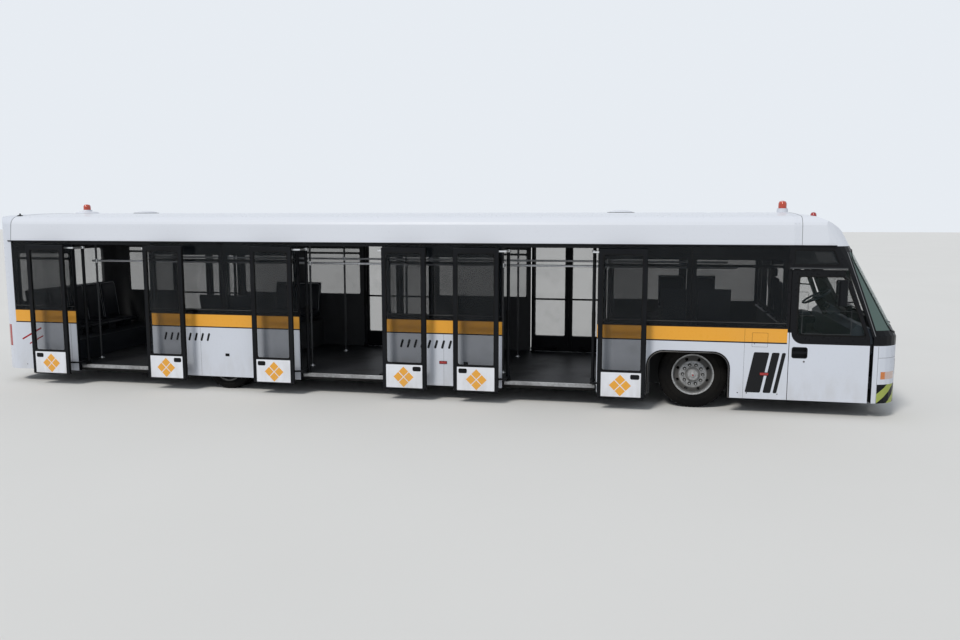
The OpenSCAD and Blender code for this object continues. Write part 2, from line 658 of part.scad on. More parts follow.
// The floor: deck on a grid of members, with the posts' lower seats
floor_end = 460;
member_y = 500;
module floor_frame() color("gray") {
    x1 = nose_x - floor_end;
    y1 = half_w - wall_t;
    difference() {
        union() {
            intersection() {
                block([tail_x + wall_t, x1], [-y1, y1], [floor_z - deck_t, floor_z]);
                along_z(0, floor_z) polygon(plan_pts(wall_t));
            }
            for (y = [-y1 + member_w / 2, -member_y, member_y, y1 - member_w / 2])
                block([side_x0, x1], [y - member_w / 2, y + member_w / 2], [skirt_z + 8, floor_z - deck_t]);
            for (x = [side_x0 + member_w:member_pitch:x1 - member_w])
                block([x, x + member_w], [-y1, y1], [skirt_z + 8, floor_z - deck_t]);
            // Step edges along the doors
            for (c = door_xs) both()
                block([c - door_w / 2 + leaf_gap, c + door_w / 2 - leaf_gap],
                    [-half_w + leaf_t + 6, -y1 + eps], [skirt_z + 8, floor_z]);
            // Thickened seats under the posts
            for (c = door_xs) both() for (e = [-1, 1])
                rod([c + e * (door_w / 2 - post_side), -half_w + post_in, skirt_z + 8], [0, 0, 0], 40,
                    floor_z - skirt_z - 8 - eps);
        }
        for (c = door_xs) both() for (e = [-1, 1])
            rod([c + e * (door_w / 2 - post_side), -half_w + post_in, floor_z - journal_len - 4], [0, 0, 0],
                journal_r + run_fit, journal_len + 4 + eps);
        both() block([front_axle_x - box_half, front_axle_x + box_half], [-half_w, -box_in],
            [0, floor_z + eps]);
        block(tunnel_x, [-box_in - eps, box_in + eps], [0, floor_z + eps]);
        // Room behind the closed cab doors
        both() block([side_x1, nose_x], [-half_w, -y1 + 10], [0, floor_z + eps]);
        both() block([rear_axle_x - rear_box_half, rear_axle_x + rear_box_half], [-half_w, -rear_box_in],
            [0, floor_z + eps]);
        block([side_x1 + engine_bay_gap, nose_x], [-engine_bay_y, engine_bay_y], [0, floor_z + eps]);
    }
}

// Wheel boxes, open below and towards the skirts, and the tunnel over the front axle between them
tunnel_h = 330;
tunnel_x = [front_axle_x - 290, front_axle_x + 180];
box_z0 = skirt_z + 8;
module wheel_box(x, half, y_in, z1) difference() {
    block([x - half, x + half], [-half_w + skirt_skin, -y_in], [box_z0, z1]);
    block([x - half + box_t, x + half - box_t], [-half_w, -y_in - box_t], [0, z1 - box_t]);
    tunnel_inside();
}
module tunnel_inside() block([tunnel_x[0] + box_t, tunnel_x[1] - box_t],
    [-box_in - 2 * box_t, box_in + 2 * box_t], [0, floor_z + tunnel_h - box_t]);
module wheel_boxes() color("dimgray") {
    both() wheel_box(front_axle_x, box_half, box_in, box_z);
    both() wheel_box(rear_axle_x, rear_box_half, rear_box_in, rear_box_z);
    difference() {
        block(tunnel_x, [-box_in + panel_gap, box_in - panel_gap], [box_z0, floor_z + tunnel_h]);
        tunnel_inside();
    }
}

// Cab floor over the engine with its side walls, and the wall between cab and cabin
bulkhead_x = side_x1 - 40;
bulkhead_t = 30;
bulkhead_win = [1300, 2080];
bulkhead_win_y = [half_w - 250, 120];
bulkhead_win_r = 40;
cab_floor_x0 = bulkhead_x + bulkhead_t + panel_gap;
cab_floor_x1 = nose_x - 280;
step_t = 24;
module cab_bulkhead() color("dimgray") {
    difference() {
        along_x(bulkhead_x, bulkhead_x + bulkhead_t) polygon(section_pts(wall_t, floor_z));
        both() along_x(bulkhead_x - eps, bulkhead_x + bulkhead_t + eps) polygon(round_rect_pts(
            [-bulkhead_win_y[0], bulkhead_win[0]], [-bulkhead_win_y[1], bulkhead_win[1]], bulkhead_win_r));
        // The wall is panelled: below the windows, the posts beside them, and above
        for (z = [bulkhead_win[0] + bulkhead_win_r, bulkhead_win[1] - bulkhead_win_r])
            slit_z(z, [bulkhead_x - eps, bulkhead_x + bulkhead_t + eps], [-half_w, half_w]);
    }
    difference() {
        block([cab_floor_x0, cab_floor_x1], [-cab_floor_half, cab_floor_half], [floor_z, cab_floor_z]);
        block([cab_floor_x0 - eps, cab_floor_x1 - box_t], [-cab_floor_half + box_t, cab_floor_half - box_t],
            [0, cab_floor_z - box_t]);
    }
    // Steps behind the two cab doors: height and distance of the outer edge from the side wall's face
    both() for (s = [[540, 380], [300, 100]])
        block([cab_floor_x0, nose_x - 560], [-half_w + s[1], -cab_floor_half - panel_gap],
            [s[0], s[0] + step_t]);
}

// Engine with the four mounts that rest against the floor's frame
engine_bay_y = 430;
engine_bay_gap = 40;
engine_foot = 80;
module engine_block() color("darkslategray") {
    x = [side_x1 + engine_bay_gap + 20, nose_x - 480];
    block(x, [-engine_bay_y + 50, engine_bay_y - 50], [floor_z - 60, cab_floor_z - box_t - 40]);
    for (mx = [x[0] + 120, x[1] - 200])
        block([mx, mx + engine_foot], [-engine_bay_y, engine_bay_y], [floor_z - deck_t - 30, floor_z]);
}

// Instrument panel with the steering column and wheel
driver_y = 380;
dash_x = nose_x - 430;
column_len = 330;
steer_r = 215;
steer_rim = 16;
module dashboard() color("dimgray") {
    intersection() {
        along_y(-half_w + 160, half_w - 160) translate([dash_x, cab_floor_z]) polygon([[-190, 0], [60, 0],
            [190, 270], [60, 330], [-150, 400], [-240, 330]]);
        body_form(wall_t + 5, 0);
    }
    translate([dash_x - 210, driver_y, cab_floor_z + 330]) rotate([0, -28, 0]) {
        cylinder(r = 28, h = column_len);
        translate([0, 0, column_len]) rotate_extrude() translate([steer_r, 0]) circle(steer_rim, $fn = 16);
        translate([0, 0, column_len - 12]) cylinder(r = 60, h = 24);
        for (a = [-20, 90, 200]) rotate([0, 0, a])
            translate([40, -14, column_len - 8]) cube([steer_r - 50, 28, 14]);
    }
}

// A passenger seat drawn facing +x with its pan at height h: pan and leaning back are one shell
module seat(w, h, back_h) {
    along_y(-w / 2, w / 2) polygon([[-210, h - 45], [225, h - 25], [245, h + 5], [225, h + 22], [-150, h + 12],
        [-165, h + 20], [-255, h + back_h], [-285, h + back_h + 12], [-310, h + back_h - 6], [-215, h]]);
    block([-150, 150], [-w / 4, w / 4], [panel_gap, h - 42]);
}
// The driver's seat: suspension base, pan and back in one profile, and the headrest
seat_base_h = 230;
back_top = [[-290, 900], [-340, 930], [-400, 900]];
module driver_seat() color("slategray") translate([side_x1 + 400, driver_y, cab_floor_z]) {
    block([-150, 150], [-150, 150], [0, seat_base_h]);
    along_y(-240, 240) polygon(concat([[-260, seat_base_h], [250, seat_base_h], [270, seat_base_h + 60],
        [240, seat_base_h + 110], [-200, seat_base_h + 90]], back_top, [[-330, seat_base_h + 70]]));
    along_y(-130, 130) polygon([back_top[2] - [0, 10], back_top[0] - [40, 0], [-345, 1080], [-415, 1075]]);
}
// Rear bench: a platform with a row of five seats, and seats facing the aisle on the wheel boxes
bench_x = tail_x + wall_t + 30;
bench_d = 960;
bench_half = half_w - wall_t - 100;
side_seat_y = half_w - wall_t - 350;
// The platform's form, moved inwards by d. Its rear corners follow the rear end's inner face.
module bench_form(d, z0) intersection() {
    block([bench_x + d, bench_x + bench_d - d], [-bench_half + d, bench_half - d],
        [z0, floor_z + bench_h - d]);
    along_z(z0, floor_z + bench_h) polygon(plan_pts(wall_t + tow_room + d));
}
module passenger_seats() color("darkslategray") {
    difference() {
        bench_form(0, floor_z);
        bench_form(box_t, 0);
        // Room for the towing eye's lug
        block([bench_x - eps, tail_x + wall_t + tow_lug + tow_room],
            [-tow_w / 2 - tow_room, tow_w / 2 + tow_room], [0, floor_z + tow_w + tow_room]);
    }
    for (i = [-2:2]) translate([bench_x + 400, i * (seat_w + 20), floor_z + bench_h])
        seat(seat_w, seat_h, 700);
    both() for (x = [-1, 1]) translate([front_axle_x + x * 250, -side_seat_y, box_z])
        rotate([0, 0, 90]) seat(seat_w, seat_h, 520);
    both() for (x = [-1, 1]) translate([rear_axle_x + x * (seat_w / 2 + 5), -side_seat_y, rear_box_z])
        rotate([0, 0, 90]) seat(seat_w - 10, seat_h, 560);
}

// Stanchions beside the doors, and long rails that lie against them
rail_ends = [900, 600];
stanchion_gap = 120;
module handrails() color("silver") both() {
    rod([side_x0 + rail_ends[0], -rail_y + rail_d + panel_gap, rail_z], [0, 90, 0], rail_d / 2,
        side_x1 - side_x0 - rail_ends[0] - rail_ends[1]);
    for (c = door_xs) for (e = [-1, 1]) intersection() {
        rod([c + e * (door_w / 2 + stanchion_gap), -rail_y, floor_z], [0, 0, 0], rail_d / 2, roof_z - floor_z);
        along_x(side_x0, side_x1) polygon(section_pts(wall_t, 0));
    }
}

// Wheels. Each is drawn round the Y axis with its outer face towards -Y.
module spun() rotate([90, 0, 0]) rotate_extrude($fn = 96) children();
// Cross section of a tyre: radius outwards, axial position along y, with bulged walls
module tyre_section(r, w, bead) polygon(concat(
    [[bead, -w / 2 + 28], [bead + 18, -w / 2 + 14]],
    [[bead + (r - bead) * 0.45, -w / 2], [r - 42, -w / 2 + 10], [r - 12, -w / 2 + 24], [r, -w / 2 + 46]],
    [[r, w / 2 - 46], [r - 12, w / 2 - 24], [r - 42, w / 2 - 10], [bead + (r - bead) * 0.45, w / 2]],
    [[bead + 18, w / 2 - 14], [bead, w / 2 - 28]]));
module front_tyre() spun() tyre_section(front_r, front_w, front_rim_r + panel_gap);
module rear_tyres() for (e = [-1, 1]) translate([0, e * (rear_w + twin_gap) / 2, 0])
    spun() tyre_section(rear_r, rear_w, rear_rim_r + panel_gap);

hub_r = 84;
module front_wheel() difference() {
    union() {
        spun() polygon([[front_rim_r - rim_t, -front_w / 2 + 30], [front_rim_r - rim_t, front_w / 2 - 30],
            [front_rim_r, front_w / 2 - 30], [front_rim_r, -front_w / 2 + 30]]);
        // Dished disc from the barrel to the bolt face
        spun() polygon([[front_rim_r - rim_t + 1, 10], [front_rim_r - rim_t + 1, 40], [190, 92], [150, 104],
            [60, 104], [60, 90], [145, 90], [180, 78]]);
        // Hub with its cap
        spun() polygon([[stub_r + run_fit, 0], [hub_r + 46, 0], [hub_r + 46, 92], [hub_r, 96], [hub_r, 150],
            [hub_r - 16, 168], [0, 172], [0, 150], [stub_r + run_fit, 150]]);
        for (i = [0:bolt_n - 1]) rotate([0, i * 360 / bolt_n, 0])
            rod([bolt_r + 28, -100, 0], [90, 0, 0], 15, 32);
    }
    for (i = [0:vent_n - 1]) rotate([0, (i + 0.5) * 360 / vent_n, 0]) rod([222, 0, 0], [90, 0, 0], 22, 160);
}
module rear_wheel() difference() {
    union() {
        for (e = [-1, 1]) translate([0, e * (rear_w + twin_gap) / 2, 0]) spun()
            translate([rear_rim_r - rim_t, -rear_w / 2 + 24]) square([rim_t, rear_w - 48]);
        spun() polygon([[rear_rim_r - rim_t + 1, -16], [rear_rim_r - rim_t + 1, 16], [60, 16], [60, -16]]);
        spun() translate([rear_rim_r - rim_t, -(twin_gap + 60) / 2]) square([rim_t, twin_gap + 60]);
        spun() polygon([[stub_r + run_fit, -120], [hub_r + 40, -120], [hub_r + 40, 20], [hub_r, 30],
            [hub_r, 120], [0, 130], [0, 112], [stub_r + run_fit, 112]]);
    }
    for (i = [0:vent_n - 1]) rotate([0, (i + 0.5) * 360 / vent_n, 0]) rod([165, 60, 0], [90, 0, 0], 18, 120);
}
module at_wheel(front, side) translate([front ? front_axle_x : rear_axle_x,
    (side == 0 ? -1 : 1) * (front ? front_track : rear_track) / 2, front ? front_r : rear_r])
    mirror([0, side, 0]) children();

// Front axle beam with bosses for the kingpins, and the rear axle with its stubs
kp_y = front_track / 2 - kingpin_in;
kp_r = 22;
kp_boss = 46;
boss_h = 90;
module front_axle() color("dimgray") difference() {
    union() {
        block([front_axle_x - 45, front_axle_x + 45], [-kp_y, kp_y], [front_r - 160, front_r - 70]);
        both() rod([front_axle_x, -kp_y, front_r - boss_h / 2], [0, 0, 0], kp_boss, boss_h);
        both() block([front_axle_x - 45, front_axle_x + 45], [-kp_y, -kp_y + 110],
            [front_r - 160, front_r + boss_h / 2]);
        both() block([front_axle_x - 60, front_axle_x + 60], [-box_in + 20, -box_in + 120],
            [front_r - 70, floor_z + tunnel_h - box_t]);
    }
    both() rod([front_axle_x, -kp_y, 0], [0, 0, 0], kp_r + run_fit, 2 * front_r);
    // Room for the knuckle's yoke under and over the boss
    both() for (z = [[0, front_r - boss_h / 2], [front_r + boss_h / 2, 2 * front_r]])
        rod([front_axle_x, -kp_y, z[0]], [0, 0, 0], 84, z[1] - z[0]);
}
yoke_t = 34;
module knuckle() translate([front_axle_x, -kp_y, front_r]) {
    rod([0, 0, -boss_h / 2 - end_float - yoke_t], [0, 0, 0], kp_r, boss_h + 2 * end_float + 2 * yoke_t);
    for (e = [-1, 1]) translate([0, 0, e * (boss_h / 2 + end_float + yoke_t / 2)])
        along_z(-yoke_t / 2, yoke_t / 2) {
            circle(kp_boss);
            translate([-40, -kp_boss - 36]) square([80, kp_boss + 36]);
        }
    block([-60, 60], [-kp_boss - 44, -kp_boss - 12], [-boss_h / 2 - yoke_t, boss_h / 2 + yoke_t]);
    rod([0, -kp_boss - 40, 0], [90, 0, 0], stub_r, kingpin_in + 140 - kp_boss - 40);
}
// Steering arm from the lower yoke back to the tie rod
tie_x = 200;
tie_pin_r = 12;
tie_z = -boss_h / 2 - yoke_t / 2 - end_float;
module steering_arm() translate([front_axle_x, -kp_y, front_r]) {
    along_z(tie_z - yoke_t / 2, tie_z + yoke_t / 2) arm_bar([0, 0], [-tie_x, 0], arm_w);
    along_z(tie_z - yoke_t / 2, tie_z + yoke_t / 2) translate([-tie_x, 0]) circle(26);
    rod([-tie_x, 0, tie_z - yoke_t / 2 - 34], [0, 0, 0], tie_pin_r, 40);
}
module knuckle_right() color("dimgray") { knuckle(); steering_arm(); }
module knuckle_left() color("dimgray") mirror([0, 1, 0]) { knuckle(); steering_arm(); }
tie_open_fit = 3;
tie_h = 28;
module tie_rod() color("gray")
    translate([front_axle_x - tie_x, 0, front_r + tie_z - yoke_t / 2 - end_float - tie_h]) difference() {
        union() {
            rod([0, -kp_y, tie_h / 2], [-90, 0, 0], 13, 2 * kp_y);
            for (e = [-1, 1]) rod([0, e * kp_y, 0], [0, 0, 0], 24, tie_h);
        }
        rod([0, -kp_y, -eps], [0, 0, 0], tie_pin_r + run_fit, tie_h + 2 * eps);
        rod([0, kp_y, -eps], [0, 0, 0], tie_pin_r + tie_open_fit, tie_h + 2 * eps);
    }
// Rear trailing arms: each side has a hub carrier against its wheel box, an arm and a stub
carrier_y = rear_track / 2 - 150;
module rear_axle() color("dimgray") translate([rear_axle_x, 0, rear_r]) both() {
    block([-60, 60], [-carrier_y, -rear_box_in - box_t], [-70, 70]);
    block([0, 330], [-rear_box_in - box_t - 48, -rear_box_in - box_t], [-60, -10]);
    rod([330, -rear_box_in - box_t, -35], [90, 0, 0], 42, 48);
    rod([0, -carrier_y + eps, 0], [90, 0, 0], stub_r, rear_track / 2 + 105 - carrier_y);
}

// Roof fittings: beacons on their bases and low ventilation domes
module dome(x, y, r, h) translate([x, y, 0]) intersection() {
    translate([0, 0, roof_at(y) - 4]) dome_form(r, h);
    block([-r, r], [-r, r], [roof_at(y) + bond, roof_at(y) + h + 20]);
}
function roof_at(y) = roof_z - (crown_r - sqrt(crown_r * crown_r - y * y));
module dome_form(r, h) rotate_extrude()
    polygon(concat([[0, 0]], [for (a = [0:15:90]) [r * cos(a), 4 + h * sin(a)]]));
module beacon(x) translate([x, 0, roof_z]) rotate_extrude()
    polygon([[0, 30], [70, 30], [74, 60], [60, 64], [60, 130], [48, 160], [20, 172], [0, 174]]);
module roof_fittings() color("orange") {
    dome(tail_x + 600, 0, 200, 40);
    translate([tail_x + 600, 0, roof_z]) rotate_extrude()
        polygon([[0, 25], [90, 25], [76, 60], [60, 62], [60, 120], [48, 148], [20, 158], [0, 160]]);
    for (x = [tail_x + 1770, tail_x + 10000]) dome(x, 0, 190, 42);
    translate([nose_x - 1410, 0, roof_z + bond]) cylinder(r = 80, h = 46);
    beacon(nose_x - 1410);
}

// Lamps let into the skin: headlamps, corner indicators and tail lamps
module lamps() color("orange") both() {
    intersection() { skin(0, lamp_t); tail_lamp_zone(bond); }
    intersection() { skin(0, lamp_t); indicator_zone(bond); }
    intersection() { skin(0, lamp_t); head_lamp_zone(bond); }
}

// Two wipers parked along the windscreen's foot: pivot, arm and blade lie on the glass
wiper_y = 330;
module wipers() color("black") both() intersection() {
    skin(-14, -bond);
    on_screen() along_x(-600, 200) {
        translate([-wiper_y, 34]) circle(26);
        arm_bar([-wiper_y, 34], [-wiper_y - 470, 96], 18);
        arm_bar([-screen_half + 170, 150], [-wiper_y - 90, 64], 14);
    }
}

module tyre_front_right() color("black") at_wheel(true, 0) front_tyre();
module tyre_front_left() color("black") at_wheel(true, 1) front_tyre();
module tyre_rear_right() color("black") at_wheel(false, 0) rear_tyres();
module tyre_rear_left() color("black") at_wheel(false, 1) rear_tyres();
module wheel_front_right() color("silver") at_wheel(true, 0) front_wheel();
module wheel_front_left() color("silver") at_wheel(true, 1) front_wheel();
module wheel_rear_right() color("silver") at_wheel(false, 0) rear_wheel();
module wheel_rear_left() color("silver") at_wheel(false, 1) rear_wheel();

floor_frame();
side_right();
side_left();
roof();
roof_cap_front();
rear_end();
front_end();
end_glazing();
glass_right();
glass_left();
cab_bulkhead();
dashboard();
driver_seat();
passenger_seats();
handrails();
engine_block();
wheel_boxes();
front_axle();
rear_axle();
roof_fittings();
lamps();
wipers();
cab_door_right();
cab_door_left();
knuckle_right();
knuckle_left();
tie_rod();
wheel_front_right();
wheel_front_left();
wheel_rear_right();
wheel_rear_left();
tyre_front_right();
tyre_front_left();
tyre_rear_right();
tyre_rear_left();
for (s = [0, 1]) for (i = [0:2]) for (e = [0, 1]) {
    tag = str(["right", "left"][s], "_", i + 1, "_", ["rear", "front"][e]);
    leaf(i, s, e);
    post(i, s, e);
}
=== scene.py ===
# %% [markdown]
# # An airport apron bus
#
# The bus is a long low box on four wheel positions, with three wide double doors on each side. Its
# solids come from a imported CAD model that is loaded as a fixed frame. This notebook gives every
# surface its finish and adds the small pieces: tread, wheel nuts, seals, lamp lenses, seat cushions
# and flaps. All lengths are in metres: +X is forward, +Y is left and +Z is up.

# %% Load the frame
import math
from itertools import product

import bpy
import bmesh
import numpy as np
from mathutils import Matrix, Vector


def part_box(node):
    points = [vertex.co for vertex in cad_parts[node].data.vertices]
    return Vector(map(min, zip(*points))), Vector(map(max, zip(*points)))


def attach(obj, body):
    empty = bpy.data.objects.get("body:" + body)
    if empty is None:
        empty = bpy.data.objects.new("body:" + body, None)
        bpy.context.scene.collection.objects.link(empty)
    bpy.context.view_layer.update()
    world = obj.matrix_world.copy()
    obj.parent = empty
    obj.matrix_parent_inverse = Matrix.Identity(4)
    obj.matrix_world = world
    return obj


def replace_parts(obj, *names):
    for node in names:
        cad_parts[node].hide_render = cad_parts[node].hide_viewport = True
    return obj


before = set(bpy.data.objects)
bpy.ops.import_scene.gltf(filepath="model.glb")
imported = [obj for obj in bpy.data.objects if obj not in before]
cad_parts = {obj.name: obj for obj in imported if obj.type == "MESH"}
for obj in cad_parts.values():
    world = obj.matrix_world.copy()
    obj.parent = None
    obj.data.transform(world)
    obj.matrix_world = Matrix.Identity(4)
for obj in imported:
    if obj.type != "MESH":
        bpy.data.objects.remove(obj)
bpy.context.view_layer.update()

# %% [markdown]
# A few places on the bus are read from the frame once and named, so that every later piece can be
# put where the solids are. The right side is -Y.

# %% Places on the bus
side_lo, side_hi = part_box("side_right")
half_w = -side_lo.y
side_x0, side_x1 = side_lo.x, side_hi.x
skirt_z, gutter_z = side_lo.z, side_hi.z
nose_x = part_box("front_end")[1].x
tail_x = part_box("rear_end")[0].x
roof_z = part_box("roof")[1].z
floor_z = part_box("floor_frame")[1].z
wall_t = 0.060


def middle(node):
    """The middle of a CAD node's box."""
    low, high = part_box(node)
    return (low + high) / 2


door_xs = [(middle(f"leaf_left_{i}_rear").x + middle(f"leaf_left_{i}_front").x) / 2 for i in (1, 2, 3)]
door_w = 1.360
door_head_z = 2.258
front_axle, rear_axle = middle("wheel_front_right"), middle("wheel_rear_right")
print("doors at", [round(x, 3) for x in door_xs], "axles at", round(front_axle.x, 3), round(rear_axle.x, 3))

# %% [markdown]
# ## Shader maths as Python
#
# A procedural finish is a sum of masks: where the stripe is, where the dust lies, where the grain
# rises. Written node by node that takes pages, so a small class wraps a socket and gives it the usual
# operators. `1 - mask` or `x * 40` then adds the Math node by itself.

# %% A socket with operators


class Wire:
    """One output socket of a node tree, with Python's operators."""

    def __init__(self, sheet, socket):
        self.sheet, self.socket = sheet, socket

    def math(self, operation, *others):
        return self.sheet.node("ShaderNodeMath", {"operation": operation}, [self, *others])

    def __add__(self, other): return self.math("ADD", other)
    def __sub__(self, other): return self.math("SUBTRACT", other)
    def __mul__(self, other): return self.math("MULTIPLY", other)
    def __truediv__(self, other): return self.math("DIVIDE", other)
    def __gt__(self, other): return self.math("GREATER_THAN", other)
    def __lt__(self, other): return self.math("LESS_THAN", other)
    def __or__(self, other): return self.math("MAXIMUM", other)
    def __and__(self, other): return self.math("MINIMUM", other)
    def __abs__(self): return self.math("ABSOLUTE")
    def part(self): return self.math("FRACT")
    def sine(self): return self.math("SINE")

    def __rsub__(self, other):
        return self.sheet.node("ShaderNodeMath", {"operation": "SUBTRACT"}, [other, self])


print("sockets can be added, compared and masked")

# %% [markdown]
# A node tree is wrapped too. One method adds any node: it sets the node, plugs in its values or links,
# and gives back its output as a wire.

# %% A node tree


class Sheet:
    """A node tree, with one method that adds any node to it."""

    def __init__(self, tree):
        self.tree = tree

    def plug(self, socket, value):
        """Links a wire to a socket, or sets the socket to a number, colour or vector."""
        if isinstance(value, Wire):
            self.tree.links.new(value.socket, socket)
        elif value is not None:
            socket.default_value = tint(value) if socket.type == "RGBA" else value

    def node(self, kind, settings=None, inputs=(), out=0):
        """Adds a node: its settings first, then its sockets by place or by name."""
        node = self.tree.nodes.new(kind)
        for name, value in (settings or {}).items():
            setattr(node, name, value)
        for name, value in inputs.items() if isinstance(inputs, dict) else enumerate(inputs):
            self.plug(node.inputs[name], value)
        return Wire(self, node.outputs[out]) if node.outputs else None


def tint(colour):
    """A colour with its alpha."""
    return tuple(colour) if len(colour) == 4 else (*colour, 1.0)


print("any node takes one call")

# %% [markdown]
# A finish is such a tree inside a material. Its methods are the patterns that most finishes need: the
# place on the bus, noise, a mix under a mask, a smooth step, a band between two places and a relief.

# %% A finish


class Finish(Sheet):
    """A material in the making, with the patterns that most finishes need."""

    def __init__(self, name, roughness=0.5, metallic=0.0, **constants):
        self.material = bpy.data.materials.new(name)
        self.material.use_nodes = True
        super().__init__(self.material.node_tree)
        self.shader = self.tree.nodes["Principled BSDF"]
        for socket, value in {"Roughness": roughness, "Metallic": metallic, **constants}.items():
            self.link(socket.replace("_", " "), value)

    def link(self, socket, value):
        self.plug(self.shader.inputs[socket], value)

    def glow(self, colour, strength):
        """A light of its own, the same all over."""
        self.link("Emission Color", colour)
        self.link("Emission Strength", strength)

    def where(self):
        """The place on the bus at rest, in metres: a node's own coordinates."""
        return self.node("ShaderNodeTexCoord", out="Object")

    def place(self):
        """That place as x, y and z."""
        node = self.tree.nodes.new("ShaderNodeSeparateXYZ")
        self.plug(node.inputs[0], self.where())
        return [Wire(self, socket) for socket in node.outputs]

    def noise(self, scale, detail=3.0, stretch=None):
        """Noise from 0 to 1 over the bus, finer as the scale rises."""
        where = self.where()
        if stretch:
            where = self.node("ShaderNodeVectorMath", {"operation": "MULTIPLY"}, [where, stretch])
        return self.node("ShaderNodeTexNoise", {}, {"Vector": where, "Scale": scale, "Detail": detail})

    def mix(self, mask, under, over):
        """Under where the mask is 0, over where it is 1."""
        return self.node("ShaderNodeMix", {"data_type": "RGBA"}, {0: mask, 6: under, 7: over}, out=2)

    def ramp(self, value, low, high, out_low=0.0, out_high=1.0):
        """A smooth step of a value between two places."""
        return self.node("ShaderNodeMapRange", {"interpolation_type": "SMOOTHSTEP"},
                         {"Value": value, "From Min": low, "From Max": high, "To Min": out_low,
                          "To Max": out_high})

    def band(self, value, low, high, soft=0.0008):
        """1 between two places and 0 outside them."""
        return self.ramp(value, low - soft, low + soft) & self.ramp(value, high - soft, high + soft, 1.0, 0.0)

    def bump(self, height, strength=0.3, distance=0.002):
        self.link("Normal", self.node("ShaderNodeBump", {}, {"Strength": strength, "Distance": distance,
                                                             "Height": height}))


print("shader helpers ready")

# %% [markdown]
# ## Colours
#
# The photograph's tones, as linear values: a cool white on the sides, warm orange for the stripe, and a
# charcoal that is nearly black for frames and the window band. Sides and roof are one white paint: the sides'
# cooler, darker white is painted shade and the roof's lighter white is painted light.

# %% The palette
# One white paint in two tones: the side white's cool, darker tone is painted shade, the roof white's lighter
# tone painted light
WHITE = (0.575, 0.605, 0.67)
LIT_ROOF_WHITE = (0.62, 0.645, 0.70)
ORANGE = (0.74, 0.35, 0.045)
BLACK = (0.005, 0.0055, 0.007)
CHARCOAL = (0.006, 0.0065, 0.008)
RUBBER = (0.005, 0.005, 0.0055)
HAZARD = (0.31, 0.36, 0.085)
DUST = (0.34, 0.31, 0.27)
print("palette of 8 colours")

# %% [markdown]
# ## Body paint
#
# The sides are sprayed white with one orange stripe under the windows, edged by a thin black line.
# Above it everything is black, so that the bonded glass and the posts read as one band. A painter
# masks these areas by their height, and the material does the same: each area is a band of z. Dust
# settles towards the skirt, and a faint orange-peel bump breaks up the gloss.

# %% Body paint


def weather(finish, colour, z, dirt=0.5):
    """Dust near the ground and slow changes of tone, over a painted colour."""
    cloud = finish.noise(1.3, 4.0)
    colour = finish.mix(finish.ramp(cloud, 0.35, 0.75, 0.0, dirt * 0.1), colour, DUST)
    low = finish.ramp(z, 0.20, 0.75, 1.0, 0.0) * finish.ramp(finish.noise(9.0, 5.0, (1, 1, 0.35)), 0.3, 0.8)
    return finish.mix(low * dirt * 0.5, colour, DUST)


def sprayed(name, coat=0.05, gloss=0.14, smooth=0.24, rough=0.38):
    """A sprayed finish with orange peel, and its x, y and z. Its colour is still to come."""
    finish = Finish(name, Coat_Weight=coat, Coat_Roughness=0.08, Specular_IOR_Level=gloss)
    finish.bump(finish.noise(260.0, 2.0), 0.05, 0.0008)
    finish.peel = finish.ramp(finish.noise(24.0), 0.2, 0.8, smooth, rough)
    finish.link("Roughness", finish.peel)
    return finish, *finish.place()


def painted(name, colour=WHITE, dirt=0.5, roughness=0.30):
    """One colour under dust."""
    finish, *_, z = sprayed(name, 0.08, 0.20, roughness - 0.05, roughness + 0.10)
    finish.link("Base Color", weather(finish, colour, z, dirt))
    return finish.material


roof_paint = painted("roof_white", LIT_ROOF_WHITE, 0.1)
panel_paint = painted("panel_white", (0.70, 0.72, 0.77), 0.7)
print("plain paints ready")

# %% Paint of the sides


def livery():
    """White side, black line, orange stripe and black window band, by height."""
    finish, *_, z = sprayed("side_livery")
    line_z, stripe_z0, stripe_z1 = 0.982, 1.000, 1.186
    colour = weather(finish, finish.mix(finish.band(z, stripe_z0, stripe_z1), WHITE, ORANGE), z)
    finish.link("Base Color", finish.mix(finish.band(z, line_z, stripe_z0) | (z > stripe_z1), colour, BLACK))
    return finish.material


side_paint = livery()
print("side paint ready")

# %% [markdown]
# The cab has the busiest paint. Its black field drops behind the door in a round corner, the bumper's
# corners are striped, fine seams mark the bolted panels, and the windscreen's edge wraps round the
# raked pillar. Each is one more mask laid over the colour so far, in the order of a painter's coats.

# %% Paint of the cab


